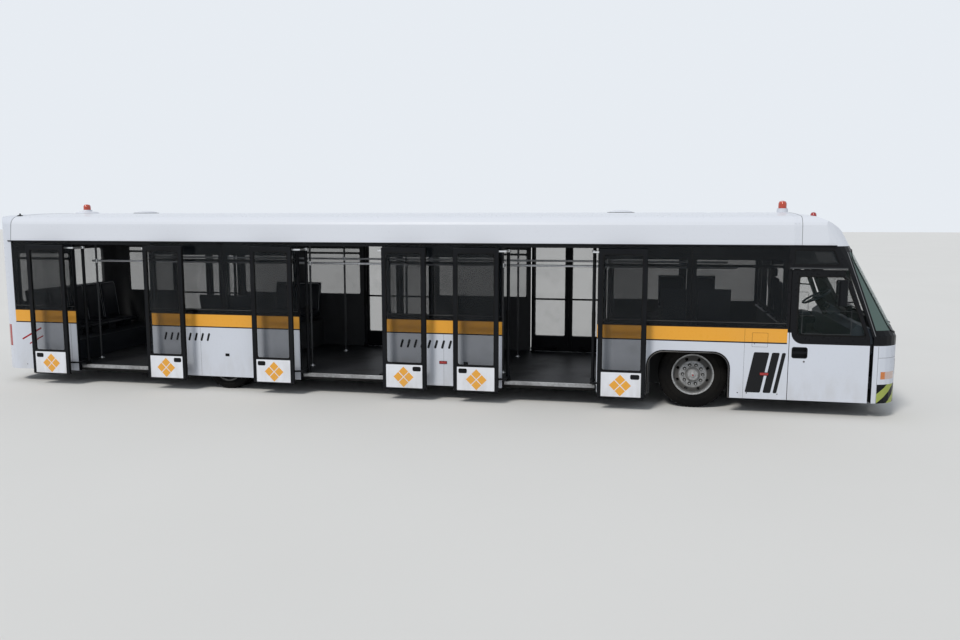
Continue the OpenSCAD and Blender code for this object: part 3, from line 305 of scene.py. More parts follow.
def cab_livery():
    """The cab: white below, black above a line that drops in a round corner, striped bumper corners."""
    finish, x, y, z = sprayed("cab_livery")
    corner_x, corner_z, corner_r = side_x1 + 0.200, 1.140, 0.150
    round_corner = ((x - corner_x) * (x - corner_x) + (z - corner_z) * (z - corner_z)) < corner_r ** 2
    black = (z > corner_z) | ((z > corner_z - corner_r) & (x > corner_x)) | round_corner
    black = black & (z < gutter_z - 0.002)
    colour = finish.mix(black, weather(finish, WHITE, z), BLACK)
    # The bumper's corners: slanted stripes that run on round the bend
    bend, stripe_pitch, on_nose = x - abs(y), 0.225, x > nose_x - 0.34
    stripes = ((bend * 0.55 - z * 0.9 - 2.478) / stripe_pitch).part() > 0.5
    bumper = finish.band(z, 0.100, 0.470) & (abs(y) > 1.000) & on_nose
    colour = finish.mix(bumper, colour, finish.mix(stripes, HAZARD, BLACK))
    # Two fine seams
    seam = finish.band(z, 0.826, 0.831) & on_nose
    seam = seam | (finish.band(x, nose_x - 0.346, nose_x - 0.341) & (z < 0.985))
    colour = finish.mix(seam, colour, (0.14, 0.15, 0.17))
    # The screen's glass wraps round the raked pillar, behind a thin bright line
    pillar = x + (z - 1.090) * 0.350
    wrap = (pillar > nose_x - 0.352) & finish.band(z, 1.195, 2.225, 0.004)
    colour = finish.mix(wrap, colour, (0.085, 0.125, 0.115))
    line = finish.band(pillar, nose_x - 0.384, nose_x - 0.376, 0.002) & finish.band(z, 1.120, 2.225, 0.004)
    finish.link("Base Color", finish.mix(line, colour, (0.20, 0.21, 0.22)))
    finish.link("Roughness", finish.peel * (1 - wrap * 0.8))
    return finish.material


cab_paint = cab_livery()
print("cab paint ready")

# %% Paint of the tail


def tail_livery():
    """The rear: white, with black behind the window's rim and the fine outline of a service flap."""
    finish, x, y, z = sprayed("tail_livery")
    on_tail = x < tail_x + 0.1
    window = finish.band(z, 1.200, 2.180) & (abs(y) < 1.140)
    outside = (abs(y) > 0.902) | (z < 0.618) | (z > 1.062)
    inside = finish.band(abs(y), -1.0, 0.898) & finish.band(z, 0.622, 1.058)
    black = (window | ((1 - outside) & (1 - inside))) & on_tail
    finish.link("Base Color", finish.mix(black, weather(finish, WHITE, z), BLACK))
    return finish.material


tail_paint = tail_livery()
print("tail paint ready")

# %% [markdown]
# ## Plastics, rubber and metals
#
# Door frames are powder coated: a satin charcoal with a fine grain. Rubber seals are duller and a
# little chalky. Handrails are brushed along their length, and the wheels are silver paint under brake
# dust. Each gets its colour from a mix of two near tones and its relief from a fine noise.

# %% Plain finishes


def grained(name, colour, second, roughness, scale=180.0, strength=0.25, metallic=0.0, stretch=None, **more):
    """A finish of two near tones with a fine grain."""
    if not metallic:
        more.setdefault("Specular_IOR_Level", 0.22)
    finish = Finish(name, roughness=roughness, metallic=metallic, **more)
    grain = finish.noise(scale, 3.0, stretch)
    cloud = finish.noise(2.5, 4.0)
    finish.link("Base Color", finish.mix(finish.ramp(cloud * 0.6 + grain * 0.4, 0.35, 0.65), colour, second))
    finish.link("Roughness", finish.ramp(grain, 0.3, 0.7, roughness - 0.06, roughness + 0.08))
    finish.bump(grain, strength, 0.0006)
    return finish.material


charcoal = grained("frame_charcoal", CHARCOAL, (0.009, 0.010, 0.012), 0.42, Specular_IOR_Level=0.10)
seal_rubber = grained("seal_rubber", RUBBER, (0.009, 0.009, 0.009), 0.68, 90.0, Specular_IOR_Level=0.12)
tyre_rubber = grained("tyre_rubber", (0.004, 0.004, 0.0045), (0.011, 0.010, 0.009), 0.78, 120.0, 0.4,
                      Specular_IOR_Level=0.08)
underbody = grained("underbody", (0.007, 0.007, 0.008), (0.017, 0.016, 0.014), 0.75, 60.0, 0.4,
                    Specular_IOR_Level=0.10)
# The lining's dark grey is painted shade: it is darkened so that the cabin reads shaded inside
lining = grained("wall_lining", (0.045, 0.047, 0.050), (0.058, 0.060, 0.062), 0.62, 240.0)
ceiling = grained("ceiling_lining", (0.20, 0.21, 0.22), (0.24, 0.25, 0.26), 0.60, 240.0)
dash_plastic = grained("dash_plastic", (0.050, 0.065, 0.085), (0.062, 0.078, 0.098), 0.55, 300.0, 0.35)
seat_plastic = grained("seat_plastic", (0.014, 0.017, 0.022), (0.022, 0.026, 0.032), 0.42, 260.0)
cast_iron = grained("cast_iron", (0.045, 0.045, 0.047), (0.075, 0.070, 0.063), 0.62, 45.0, 0.6, 0.4)
# The rail's light steel is partly painted light: it is made lighter so that it reads lit in the dark cabin
rail_steel = grained("brushed_rail", (0.78, 0.79, 0.83), (0.66, 0.67, 0.70), 0.32, 420.0, 0.15, 0.4,
                     (1, 6, 0.2))
sill_metal = grained("sill_aluminium", (0.46, 0.47, 0.48), (0.24, 0.24, 0.245), 0.40, 30.0, 0.2, 0.9)
bright_metal = grained("bright_aluminium", (0.78, 0.79, 0.80), (0.66, 0.67, 0.69), 0.30, 380.0, 0.2, 1.0)
# Dark grey: the drip rail's and the window edge's own grey, and painted shade on the handrail uprights
grey_trim_and_stanchion_shade = grained("grey_trim_and_stanchion_shade", (0.055, 0.058, 0.062), (0.080, 0.083, 0.088), 0.40, 300.0, 0.15,
                         0.5)
dark_steel = grained("dark_steel", (0.10, 0.10, 0.105), (0.16, 0.15, 0.14), 0.45, 120.0, 0.3, 0.8)
grimy_steel = grained("grimy_steel", (0.014, 0.014, 0.015), (0.030, 0.028, 0.025), 0.60, 120.0, 0.3)
print("plain finishes ready")

# %% [markdown]
# The front wheels show silver paint with patches of brake dust, darker in a ring between the nuts and the rim
# and in a ring round the hub. The rings depend on the distance from the wheel's axis, so the material
# measures it.

# %% Wheel paint


def wheel_paint(name, hub):
    """Silver paint under patches of dust, darker in a ring between the nuts and the rim and in a ring round
    the hub.
    """
    finish = Finish(name, roughness=0.45, metallic=0.35)
    x, _, z = finish.place()
    out = ((x - hub.x) * (x - hub.x) + (z - hub.z) * (z - hub.z)).math("SQRT")
    grime = finish.ramp(finish.noise(38.0, 5.0), 0.35, 0.70)
    groove = finish.band(out, 0.190, 0.262, 0.014)
    around_hub = finish.band(out, 0.086, 0.106, 0.006)
    shade = (grime * 0.35) | (groove * 0.80) | (around_hub * 0.65)
    finish.link("Base Color", finish.mix(shade, (0.34, 0.345, 0.35), (0.060, 0.055, 0.048)))
    finish.link("Roughness", finish.ramp(grime, 0.0, 1.0, 0.36, 0.72))
    finish.bump(finish.noise(150.0, 3.0), 0.25, 0.0008)
    return finish.material


front_steel = wheel_paint("front_wheel_silver", front_axle)
rear_steel = wheel_paint("rear_wheel_silver", rear_axle)
print("wheel paint ready")

# %% [markdown]
# ## Glass
#
# The side glass is tinted and bonded over black posts. A thin pane needs no refraction: it is enough
# that it is dark, glossy and partly see-through, so its alpha carries the tint. The windscreen is
# clearer, with a green edge and a printed black border.

# %% Glass finishes


def pane(name, colour, alpha, border=None):
    """Thin tinted glass. Where the border mask is 1 the pane is printed black."""
    finish = Finish(name, roughness=0.04, IOR=1.5, Specular_IOR_Level=0.22)
    x, y, z = finish.place()
    haze = finish.ramp(finish.noise(3.0, 4.0), 0.45, 0.8, 0.0, 0.05)
    mask = border(finish, x, y, z) if border else None
    body = colour if mask is None else finish.mix(mask, colour, BLACK)
    finish.link("Base Color", finish.mix(haze, body, (0.18, 0.18, 0.18)))
    finish.link("Alpha", haze + alpha if mask is None else (haze + alpha) | mask)
    finish.link("Roughness", haze * 2.0 + 0.03)
    return finish.material


def screen_border(finish, x, y, z):
    """The printed rim of windscreen and rear window."""
    across = abs(y) > finish.ramp(x, -1.0, 1.0, 1.090, 1.385)
    foot = z < finish.ramp(x, -1.0, 1.0, 1.262, 1.246)
    head = z > finish.ramp(x, -1.0, 1.0, 2.118, 2.236)
    ends = (x > nose_x - 0.75) | (x < tail_x + 0.1)
    return (across | foot | head) & ends


side_glass = pane("side_glass", (0.005, 0.007, 0.009), 0.42)
door_glass = pane("door_glass", (0.008, 0.010, 0.012), 0.27)
cab_glass = pane("cab_glass", (0.020, 0.030, 0.028), 0.16)
end_glass = pane("end_glass", (0.100, 0.165, 0.145), 0.34, screen_border)
light_glass = pane("dark_light_glass", (0.006, 0.008, 0.010), 0.78)
mirror_glass = grained("mirror_glass", (0.80, 0.82, 0.84), (0.78, 0.80, 0.82), 0.07, 30.0, 0.02, 1.0)
print("glass ready")

# %% [markdown]
# ## Dressing the CAD nodes
#
# A CAD node's mesh stays as it is, but each of its faces may take another material. A wall is one
# solid with three looks: painted outside, lined inside, and rubber-black in the cuts between. Which one
# a face gets follows from where its normal points, seen from the middle of the bus.

# %% Materials by face


def dress(node, *materials, choose=None):
    """Gives a CAD node its materials; choose(centre, normal) picks one by number for each face."""
    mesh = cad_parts[node].data
    mesh.materials.clear()
    for material in materials:
        mesh.materials.append(material)
    if choose:
        for face in mesh.polygons:
            face.material_index = choose(face.center, face.normal)


def facing(centre, normal):
    """0 for an outer face, 1 for an inner one and 2 for the edge of a cut."""
    core = Vector((min(max(centre.x, tail_x + 0.8), nose_x - 1.2), 0, min(max(centre.z, 1.0), 1.9)))
    share = normal.dot((centre - core).normalized())
    return 0 if share > 0.40 else 1 if share < -0.40 else 2


print("faces can be told apart")

# %% [markdown]
# The walls, the roof and both ends are dressed with small changes to that rule, one for each node whose
# faces would be told apart wrongly.

# %% The body's nodes


def side_facing(centre, normal):
    """The side walls: their outer plane is painted and their inner plane lined."""
    if abs(centre.y) > half_w - 0.010:
        return 0 if abs(normal.y) > 0.5 else 2
    return 1 if abs(normal.y) > 0.5 else 2


for node in ("side_right", "side_left"):
    dress(node, side_paint, lining, charcoal, choose=side_facing)


def roof_facing(centre, normal):
    """The roof by facing, with its end faces painted: the front cap lies a little lower."""
    return 0 if abs(normal.x) > 0.7 and centre.x < nose_x - 1.300 else facing(centre, normal)


dress("roof", roof_paint, ceiling, charcoal, choose=roof_facing)
dress("roof_cap_front", roof_paint, ceiling, charcoal, choose=facing)
dress("rear_end", tail_paint, lining, charcoal, choose=facing)


def nose_facing(centre, normal):
    """The nose takes its paint by facing, but the faces in the gap beside each cab door's hinges take
    charcoal as painted shade.
    """
    # Charcoal in the hinge gap is painted shade
    return 2 if abs(centre.x - (nose_x - 0.4325)) < 0.026 and centre.z < 1.100 else facing(centre, normal)


dress("front_end", cab_paint, lining, charcoal, choose=nose_facing)
for node in ("glass_right", "glass_left"):
    dress(node, side_glass)
dress("end_glazing", end_glass, light_glass, choose=lambda centre, normal: int(
    side_x1 < centre.x < nose_x - 0.6 and abs(centre.y) > half_w - 0.05 and abs(normal.y) > 0.5))
print("body nodes dressed")

# %% [markdown]
# A passenger door leaf and a cab door each have a pane in their frame. In the solid the pane is a thin
# web, so its faces are the ones that lie deeper than the skin and face straight out or in.

# %% Panes of the doors


def in_leaf_pane(node):
    """Picks 1 for the pane of a leaf and 0 for its frame."""
    low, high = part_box(node)
    skin = high.y if middle(node).y > 0 else low.y

    def choose(centre, normal):
        return int(abs(normal.y) > 0.9 and 0.004 < abs(centre.y - skin) < 0.016 and centre.z > 0.560)
    return choose


def in_cab_pane(centre, normal):
    """The cab door's pane, and the lining on its inner side."""
    web = abs(normal.y) > 0.8 and 0.006 < half_w - abs(centre.y) < 0.018 and centre.z > 1.10
    return 3 if web and centre.x > side_x1 + 0.1 else facing(centre, normal)


leaf_tags = ["_".join(words) for words in product(("right", "left"), "123", ("rear", "front"))]
for tag in leaf_tags:
    dress("leaf_" + tag, charcoal, door_glass, choose=in_leaf_pane("leaf_" + tag))
print(len(leaf_tags), "leaves dressed")

# %% [markdown]
# The lamps are one node with six solids. The tail lamps are red above and pale below, the corner
# indicators are orange, and the headlamps are clear.

# %% Lenses


def lens(name, colour, glow=0.05, ribs=70.0, clear_from=None):
    """A ribbed lens: fine vertical flutes under a glossy skin, clear nearer the middle than clear_from."""
    finish = Finish(name, roughness=0.12, Coat_Weight=0.6, Coat_Roughness=0.03)
    x, y, z = finish.place()
    relief = ((x + y) * ribs * 6.283).sine() | (z * ribs * 6.283).sine()
    body = finish.mix(finish.ramp(relief, -0.6, 1.0), tuple(c * 0.55 for c in colour), colour)
    if clear_from:
        clear = finish.ramp(abs(y), clear_from - 0.012, clear_from, 1.0, 0.0)
        body = finish.mix(clear, body, (0.52, 0.40, 0.36))
    finish.link("Base Color", body)
    finish.bump(relief, 0.35, 0.002)
    finish.glow(colour, glow)
    return finish.material


red_lens = lens("red_lens", (0.34, 0.010, 0.010))
orange_lens = lens("orange_lens", (0.62, 0.19, 0.035), 0.02, 70.0, 1.462)
clear_lens = lens("clear_lens", (0.62, 0.64, 0.66), 0.02, 40.0)
beacon_lens = lens("beacon_lens", (0.50, 0.045, 0.010), 0.05, 120.0)
print("4 lenses")

# %% [markdown]
# Which lens a lamp's face gets follows from its place. The running gear and the furniture have one
# material each, so a table of nodes is enough for them.

# %% Lamps and running gear


def lamp_kind(centre, normal):
    """Red above pale at the tail, orange corners beside clear headlamps at the nose."""
    if centre.x < 0:
        return 0 if centre.z > 0.690 else 2
    return 1 if abs(centre.y) > 1.20 else 2


def fitting_kind(centre, normal):
    """White domes and bases, red caps."""
    return int(centre.z > roof_z + 0.058)


dress("lamps", red_lens, orange_lens, clear_lens, choose=lamp_kind)
dress("roof_fittings", roof_paint, beacon_lens, choose=fitting_kind)
# The handrails are one steel: the uprights take dark grey as painted shade, the rail at 1.93 to 1.99 m a
# lighter steel as painted light
dress("handrails", grey_trim_and_stanchion_shade, rail_steel, choose=lambda centre, normal: int(1.930 < centre.z < 1.990))
plain_nodes = {
    charcoal: ["wipers"], cast_iron: ["engine_block"], dash_plastic: ["dashboard"],
    underbody: ["front_axle", "rear_axle", "knuckle_right", "knuckle_left", "tie_rod"],
    lining: ["cab_bulkhead", "wheel_boxes"], seat_plastic: ["driver_seat", "passenger_seats"],
    front_steel: ["wheel_front_right", "wheel_front_left"],
    rear_steel: ["wheel_rear_right", "wheel_rear_left"],
    tyre_rubber: ["tyre_front_right", "tyre_front_left", "tyre_rear_right", "tyre_rear_left"]}
for material, nodes in plain_nodes.items():
    for node in nodes:
        dress(node, material)
print("running gear dressed")

# %% [markdown]
# ## Many small pieces in one mesh
#
# Seals, bolts and flaps are small and numerous. Making each its own object would fill the list of
# pieces, so a kit gathers points and faces in plain Python and turns them into one mesh at the end.
# Its basic forms are a chamfered block, a plate with a rounded outline, a turned form and a bar swept
# along a path, because nothing on a bus has a perfectly sharp edge.

# %% [markdown]
# A chamfered block has three points at each corner of a box. Its faces look along the 26 ways from the
# box's middle to its sides, edges and corners, so each face joins the points that lie furthest along
# its way, in the order of their angle around it. This is worked out once, for all blocks.

# %% The faces of a chamfered block
block_points = [(corner, flat) for corner in product((0, 1), repeat=3) for flat in range(3)]
block_faces = []
for way in product((-1, 0, 1), repeat=3):
    if any(way):
        spots = [Vector([c - 0.5 if a == flat else (c - 0.5) * 0.8 for a, c in enumerate(corner)])
                 for corner, flat in block_points]
        turn = Vector(way).rotation_difference((0, 0, 1))
        reach = max(p.dot(way) for p in spots) - 1e-6
        ring = [i for i, p in enumerate(spots) if p.dot(way) > reach]
        core = sum((spots[i] for i in ring), Vector()) / len(ring)
        flats = {i: turn @ (spots[i] - core) for i in ring}
        block_faces.append(sorted(ring, key=lambda i: math.atan2(flats[i].y, flats[i].x)))
print(len(block_points), "points and", len(block_faces), "faces a block")

# %% Blocks and plates


def into_scene(name, data):
    """A new object in the scene."""
    thing = bpy.data.objects.new(name, data)
    bpy.context.scene.collection.objects.link(thing)
    return thing


def smooth(mesh):
    """Shades a mesh without facets."""
    mesh.polygons.foreach_set("use_smooth", [True] * len(mesh.polygons))


class Forms:
    """Gathers the points and faces of blocks and plates."""

    def __init__(self, name, body, slot, *materials):
        self.name, self.body, self.slot, self.materials = name, body, slot, materials
        self.points, self.faces, self.skins = [], [], []

    def add(self, points, faces, skin=0, at=None):
        start = len(self.points)
        at = at or Matrix()
        self.points += [at @ Vector(p) for p in points]
        order = -1 if at.determinant() < 0 else 1
        self.faces += [[start + i for i in face[::order]] for face in faces]
        self.skins += [skin] * len(faces)

    def block(self, low, high, edge=0.002, skin=0, at=None):
        """A box with chamfered edges."""
        low, high = Vector(low), Vector(high)
        edge = min(edge, *((high - low) / 2.01))
        points = [[(low, high)[c][a] + (0 if a == flat else edge * (1 - 2 * c)) for a, c in enumerate(corner)]
                  for corner, flat in block_points]
        self.add(points, block_faces, skin, at)

    def plate(self, outline, depth, edge=0.001, skin=0, at=None):
        """A plate: an outline in x and z, from y = 0 out to y = -depth, its front edge chamfered."""
        n = len(outline)
        if sum(a[0] * b[1] - b[0] * a[1] for a, b in zip(outline, outline[1:] + outline[:1])) < 0:
            outline = outline[::-1]
        inner = inset(outline, edge)
        points = [(x, 0, z) for x, z in outline] + [(x, edge - depth, z) for x, z in outline]
        points += [(x, -depth, z) for x, z in inner]
        faces = [[2 * n + i for i in range(n)]]
        for ring in (0, n):
            faces += [[ring + i, ring + (i + 1) % n, ring + n + (i + 1) % n, ring + n + i] for i in range(n)]
        faces.append(list(range(n))[::-1])
        self.add(points, faces, skin, at)


print("blocks and plates ready")

# %% [markdown]
# Turned and swept forms are rings of points, each ring joined to the next.

# %% Turned and swept forms


class Curves(Forms):
    """Adds forms turned round an axis or swept along a path."""

    def turned(self, profile, count=32, skin=0, at=None):
        """A form turned round its y axis from (radius, y) points, closed at its ends where they meet it."""
        points, faces, rings = [], [], []
        for radius, y in profile:
            if radius < 1e-6:
                rings.append([len(points)] * count)
                points.append((0, y, 0))
            else:
                rings.append(list(range(len(points), len(points) + count)))
                for i in range(count):
                    a = 2 * math.pi * i / count
                    points.append((radius * math.cos(a), y, radius * math.sin(a)))
        for first, second in zip(rings, rings[1:]):
            for i in range(count):
                j = (i + 1) % count
                face = [first[i], first[j], second[j], second[i]]
                face = [v for k, v in enumerate(face) if v not in face[:k]]
                if len(face) > 2:
                    faces.append(face)
        self.add(points, faces, skin, at)

    def swept(self, path, section, closed=False, skin=0, at=None, up=(0, 1, 0)):
        """A section of (side, up) points carried along a path, mitred at its corners."""
        n, m = len(path), len(section)
        up = Vector(up)
        points, faces = [], []
        for i, spot in enumerate(path):
            spot = Vector(spot)
            before = Vector(path[i - 1]) if closed or i else None
            after = Vector(path[(i + 1) % n]) if closed or i < n - 1 else None
            d0 = (spot - before).normalized() if before is not None else (after - spot).normalized()
            d1 = (after - spot).normalized() if after is not None else d0
            along = (d0 + d1).normalized()
            side = along.cross(up).normalized()
            stretch = 1 / max(0.4, along.dot(d1))
            points += [spot + side * s * stretch + up * u for s, u in section]
        for i in range(n if closed else n - 1):
            faces += tube_faces(i, (i + 1) % n, m)
        if not closed:
            faces += [list(range(m))[::-1], list(range((n - 1) * m, n * m))]
        self.add(points, faces, skin, at)


print("turned and swept forms ready")

# %% [markdown]
# Edges sharper than 35 degrees stay sharp.


class Kit(Curves):
    """Turns what was gathered into one piece that rides on one body."""

    def done(self, sharp=35):
        """Builds the mesh, shades it, and makes it ride on its body."""
        mesh = bpy.data.meshes.new(self.name)
        mesh.from_pydata([tuple(p) for p in self.points], [], self.faces)
        for material in self.materials:
            mesh.materials.append(material)
        mesh.polygons.foreach_set("material_index", self.skins)
        fix = bmesh.new()
        fix.from_mesh(mesh)
        bmesh.ops.recalc_face_normals(fix, faces=fix.faces)
        fix.to_mesh(mesh)
        fix.free()
        smooth(mesh)
        mesh.set_sharp_from_angle(angle=math.radians(sharp))
        piece = into_scene(self.name, mesh)
        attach(piece, self.body)
        print(self.name, len(mesh.polygons), "faces")
        return piece


print("kit ready")

# %% [markdown]
# They are placed by a matrix, and the left side of the bus is the right side seen in a mirror.

# %% Outlines and places


def tube_faces(i, j, m):
    """The faces between rings i and j of m points each."""
    return [[i * m + k, i * m + (k + 1) % m, j * m + (k + 1) % m, j * m + k] for k in range(m)]


def inset(outline, edge):
    """The outline moved inwards by an even edge."""
    n, moved = len(outline), []
    for i in range(n):
        a, b, c = (Vector((*outline[j % n], 0)) for j in (i - 1, i, i + 1))
        d0, d1 = (b - a).normalized(), (c - b).normalized()
        n0, n1 = Vector((-d0.y, d0.x, 0)), Vector((-d1.y, d1.x, 0))
        shift = (n0 + n1).normalized() * edge / max(0.5, math.sqrt((1 + n0.dot(n1)) / 2))
        moved.append((b.x + shift.x, b.y + shift.y))
    return moved


def rounded(x0, z0, x1, z1, r, steps=5):
    """A rectangle with round corners, as an outline."""
    corners = [(x1 - r, z1 - r, 0), (x0 + r, z1 - r, 90), (x0 + r, z0 + r, 180), (x1 - r, z0 + r, 270)]
    turns = [(cx, cz, math.radians(a0 + 90 * i / steps)) for cx, cz, a0 in corners for i in range(steps + 1)]
    return [(cx + r * math.cos(a), cz + r * math.sin(a)) for cx, cz, a in turns]


def circle(r, count, x=0.0, z=0.0):
    """Evenly spaced points on a circle: six of them make a hexagon."""
    turns = [2 * math.pi * i / count for i in range(count)]
    return [(x + r * math.cos(a), z + r * math.sin(a)) for a in turns]


def spot(x=0, y=0, z=0, turn=0, axis="Z"):
    """A place, with a turn in degrees about one axis."""
    return Matrix.Translation((x, y, z)) @ Matrix.Rotation(math.radians(turn), 4, axis)


MIRROR = Matrix.Scale(-1, 4, (0, 1, 0))
SIDES = {"right": Matrix(), "left": MIRROR}
UPRIGHT = spot(turn=90, axis="X")
print("outlines ready")

# %% [markdown]
# ## Tyres
#
# The CAD tyre is a smooth ring of the right outline. A real tyre of this size has a ribbed tread: four
# grooves run round it, and short notches cut its shoulders. One closed section is turned round the
# axle in steps, and every fourth step is sunk at the shoulders, which gives square lugs.

# %% Tyre with tread


def tyre_section(r, w, bead):
    """The section as (radius, y, part) from the outer bead over the tread to the inner bead."""
    rise = r - bead
    wall = [(bead, 0.028, "bead"), (bead + 0.006, 0.020, "bead"), (bead + 0.018, 0.014, "wall"),
            (bead + 0.022, 0.0135, "wall"), (bead + rise * 0.30, 0.004, "wall"),
            (bead + rise * 0.45, 0, "wall"), (bead + rise * 0.49, 0, "wall"),
            (bead + rise * 0.51, 0.004, "wall"), (r - 0.055, 0.007, "wall"),
            (r - 0.042, 0.010, "shoulder"), (r - 0.012, 0.024, "shoulder"), (r - 0.001, 0.044, "shoulder")]
    wall = [(radius, y - w / 2, part) for radius, y, part in wall]
    grooves, width, depth = (-0.30, -0.10, 0.10, 0.30), 0.009, 0.011
    crown = []
    for share in grooves:
        y = share * w * 0.86
        crown += [(r, y - width / 2, "rib"), (r - depth, y - width / 3, "groove"),
                  (r - depth, y + width / 3, "groove"), (r, y + width / 2, "rib")]
    return wall + crown + [(radius, -y, part) for radius, y, part in wall[::-1]]


def add_tyre(kit, r, w, bead, at, pitches=52, steps=4):
    """One tyre round the y axis of its place."""
    section, count = tyre_section(r, w, bead), pitches * steps
    points, faces, m = [], [], len(section)
    for i in range(count):
        a, notch = 2 * math.pi * i / count, i % steps == 0
        for radius, y, part in section:
            sink = 0.009 if notch and part == "shoulder" else 0.0
            points.append(((radius - sink) * math.cos(a), y, (radius - sink) * math.sin(a)))
    for i in range(count):
        faces += tube_faces(i, (i + 1) % count, m)
    kit.add(points, faces, 0, at)


print("tread ready")

# %% [markdown]
# The front wheels have one tyre each, the rear wheels two beside each other.

# %% Tyres in place
front_wheel_in, rear_wheel_in = 0.340, 0.320
front_r, front_w, front_rim_r = 0.478, 0.275, 0.286
rear_r, rear_w, rear_rim_r, twin_gap = 0.355, 0.205, 0.222, 0.034
hubs = {}
for side, flip in SIDES.items():
    hubs["front_" + side] = flip @ spot(front_axle.x, front_wheel_in - half_w, front_r)
    hubs["rear_" + side] = flip @ spot(rear_axle.x, rear_wheel_in - half_w, rear_r)
for place, hub in hubs.items():
    kit = Kit("tread_" + place, "wheel_" + place, "tyre", tyre_rubber)
    if "front" in place:
        add_tyre(kit, front_r - 0.0003, front_w, front_rim_r + 0.0003, hub)
    else:
        for y in (-(rear_w + twin_gap) / 2, (rear_w + twin_gap) / 2):
            add_tyre(kit, rear_r - 0.0003, rear_w, rear_rim_r + 0.0003, hub @ spot(y=y), 44)
    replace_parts(kit.done(), "tyre_" + place)

# %% [markdown]
# ## Wheel nuts and rims
#
# Ten nuts hold each front wheel, each on a washer over its stud. The rim's edge rolls outwards over the
# tyre's bead, and a valve reaches through one of the vents.

# %% Wheel fittings
bolt_ring, bolt_count = 0.138, 10
for place in ("front_right", "front_left"):
    kit = Kit("nuts_" + place, "wheel_" + place, "wheel_steel", grimy_steel, front_steel, seal_rubber,
              red_lens)
    hub = hubs[place]
    for i in range(bolt_count):
        stud = hub @ spot(turn=i * 360 / bolt_count, axis="Y") @ spot(x=bolt_ring, y=-0.098)
        kit.turned([(0, -0.0095), (0.023, -0.0095), (0.024, -0.0085), (0.024, 0)], 20, 0, stud)
        kit.plate(circle(0.0190, 6), 0.0345, 0.002, 0, stud)
        kit.turned([(0, -0.042), (0.011, -0.042), (0.012, -0.040), (0.012, -0.030)], 14, 1, stud)
    kit.turned([(0.272, -0.106), (0.272, -0.1105), (0.284, -0.1165), (0.296, -0.1160), (0.3000, -0.1125),
                (0.298, -0.1090), (0.287, -0.1080)], 96, 1, hub)
    kit.turned([(0.240, -0.052), (0.246, -0.058), (0.252, -0.052)], 96, 1, hub)
    for i in range(8):
        cap_bolt = hub @ spot(turn=22.5 + i * 45, axis="Y") @ spot(x=0.071, y=-0.150)
        kit.plate(circle(0.0075, 6), 0.008, 0.001, 0, cap_bolt)
    kit.turned([(0, -0.178), (0.030, -0.178), (0.036, -0.175), (0.040, -0.168)], 40, 1, hub)
    kit.turned([(0, -0.183), (0.009, -0.183), (0.012, -0.181), (0.012, -0.176)], 20, 3, hub)
    valve = hub @ spot(turn=67, axis="Y") @ spot(x=0.236, y=-0.070)
    kit.turned([(0, -0.034), (0.004, -0.034), (0.0045, 0.010)], 12, 2, valve)
    kit.done()
for place in ("rear_right", "rear_left"):
    kit = Kit("nuts_" + place, "wheel_" + place, "wheel_steel", grimy_steel, rear_steel)
    hub = hubs[place]
    for i in range(bolt_count):
        stud = hub @ spot(turn=i * 360 / bolt_count, axis="Y") @ spot(x=0.108, y=-0.020)
        kit.plate(circle(0.0150, 6), 0.030, 0.002, 0, stud)
    outer = -(rear_w + twin_gap) / 2 - rear_w / 2 + 0.024
    kit.turned([(rear_rim_r - 0.014, outer + 0.002), (rear_rim_r - 0.014, outer - 0.004),
                (rear_rim_r + 0.004, outer - 0.009), (rear_rim_r + 0.013, outer - 0.005),
                (rear_rim_r + 0.010, outer + 0.001)], 96, 1, hub)
    kit.done()

# %% [markdown]
# ## Seals and trim along the sides
#
# A black gutter runs over the glass from end to end, a rubber bead closes the glass below, and short
# beads close the joints between panes. The front arch has a rolled rubber edge. All of it is swept
# along paths that follow the CAD edges, once for each side.

# %% Side trim
glass_z0, glass_z1 = 1.205, gutter_z - 0.012
band_gap = 0.020
door_l = [x - door_w / 2 for x in door_xs]
door_r = [x + door_w / 2 for x in door_xs]
bays = [(side_x0 + band_gap, door_l[0] - band_gap, 1), (door_r[0] + band_gap, door_l[1] - band_gap, 2),
        (door_r[1] + band_gap, door_l[2] - band_gap, 1), (door_r[2] + band_gap, side_x1 - band_gap, 2)]
arch_back, arch_front, arch_z, arch_r = 0.630, 0.460, 0.830, 0.210


def round_bead(width, height, steps=6):
    """A bead's section: flat behind and round in front, as (side, up) points."""
    turns = [math.pi * i / steps for i in range(steps + 1)]
    return [(width / 2 * math.cos(a), -height * math.sin(a)) for a in turns]


def arch_path(y):
    """The front arch's edge, from its rear foot over the top to its front foot."""
    x0, x1 = front_axle.x - arch_back, front_axle.x + arch_front
    path = [(x0, y, skirt_z + 0.002)]
    for cx, a0 in ((x0 + arch_r, 180), (x1 - arch_r, 90)):
        for i in range(9):
            a = math.radians(a0 - 90 * i / 8)
            path.append((cx + arch_r * math.cos(a), y, arch_z - arch_r + arch_r * math.sin(a)))
    return path + [(x1, y, skirt_z + 0.002)]


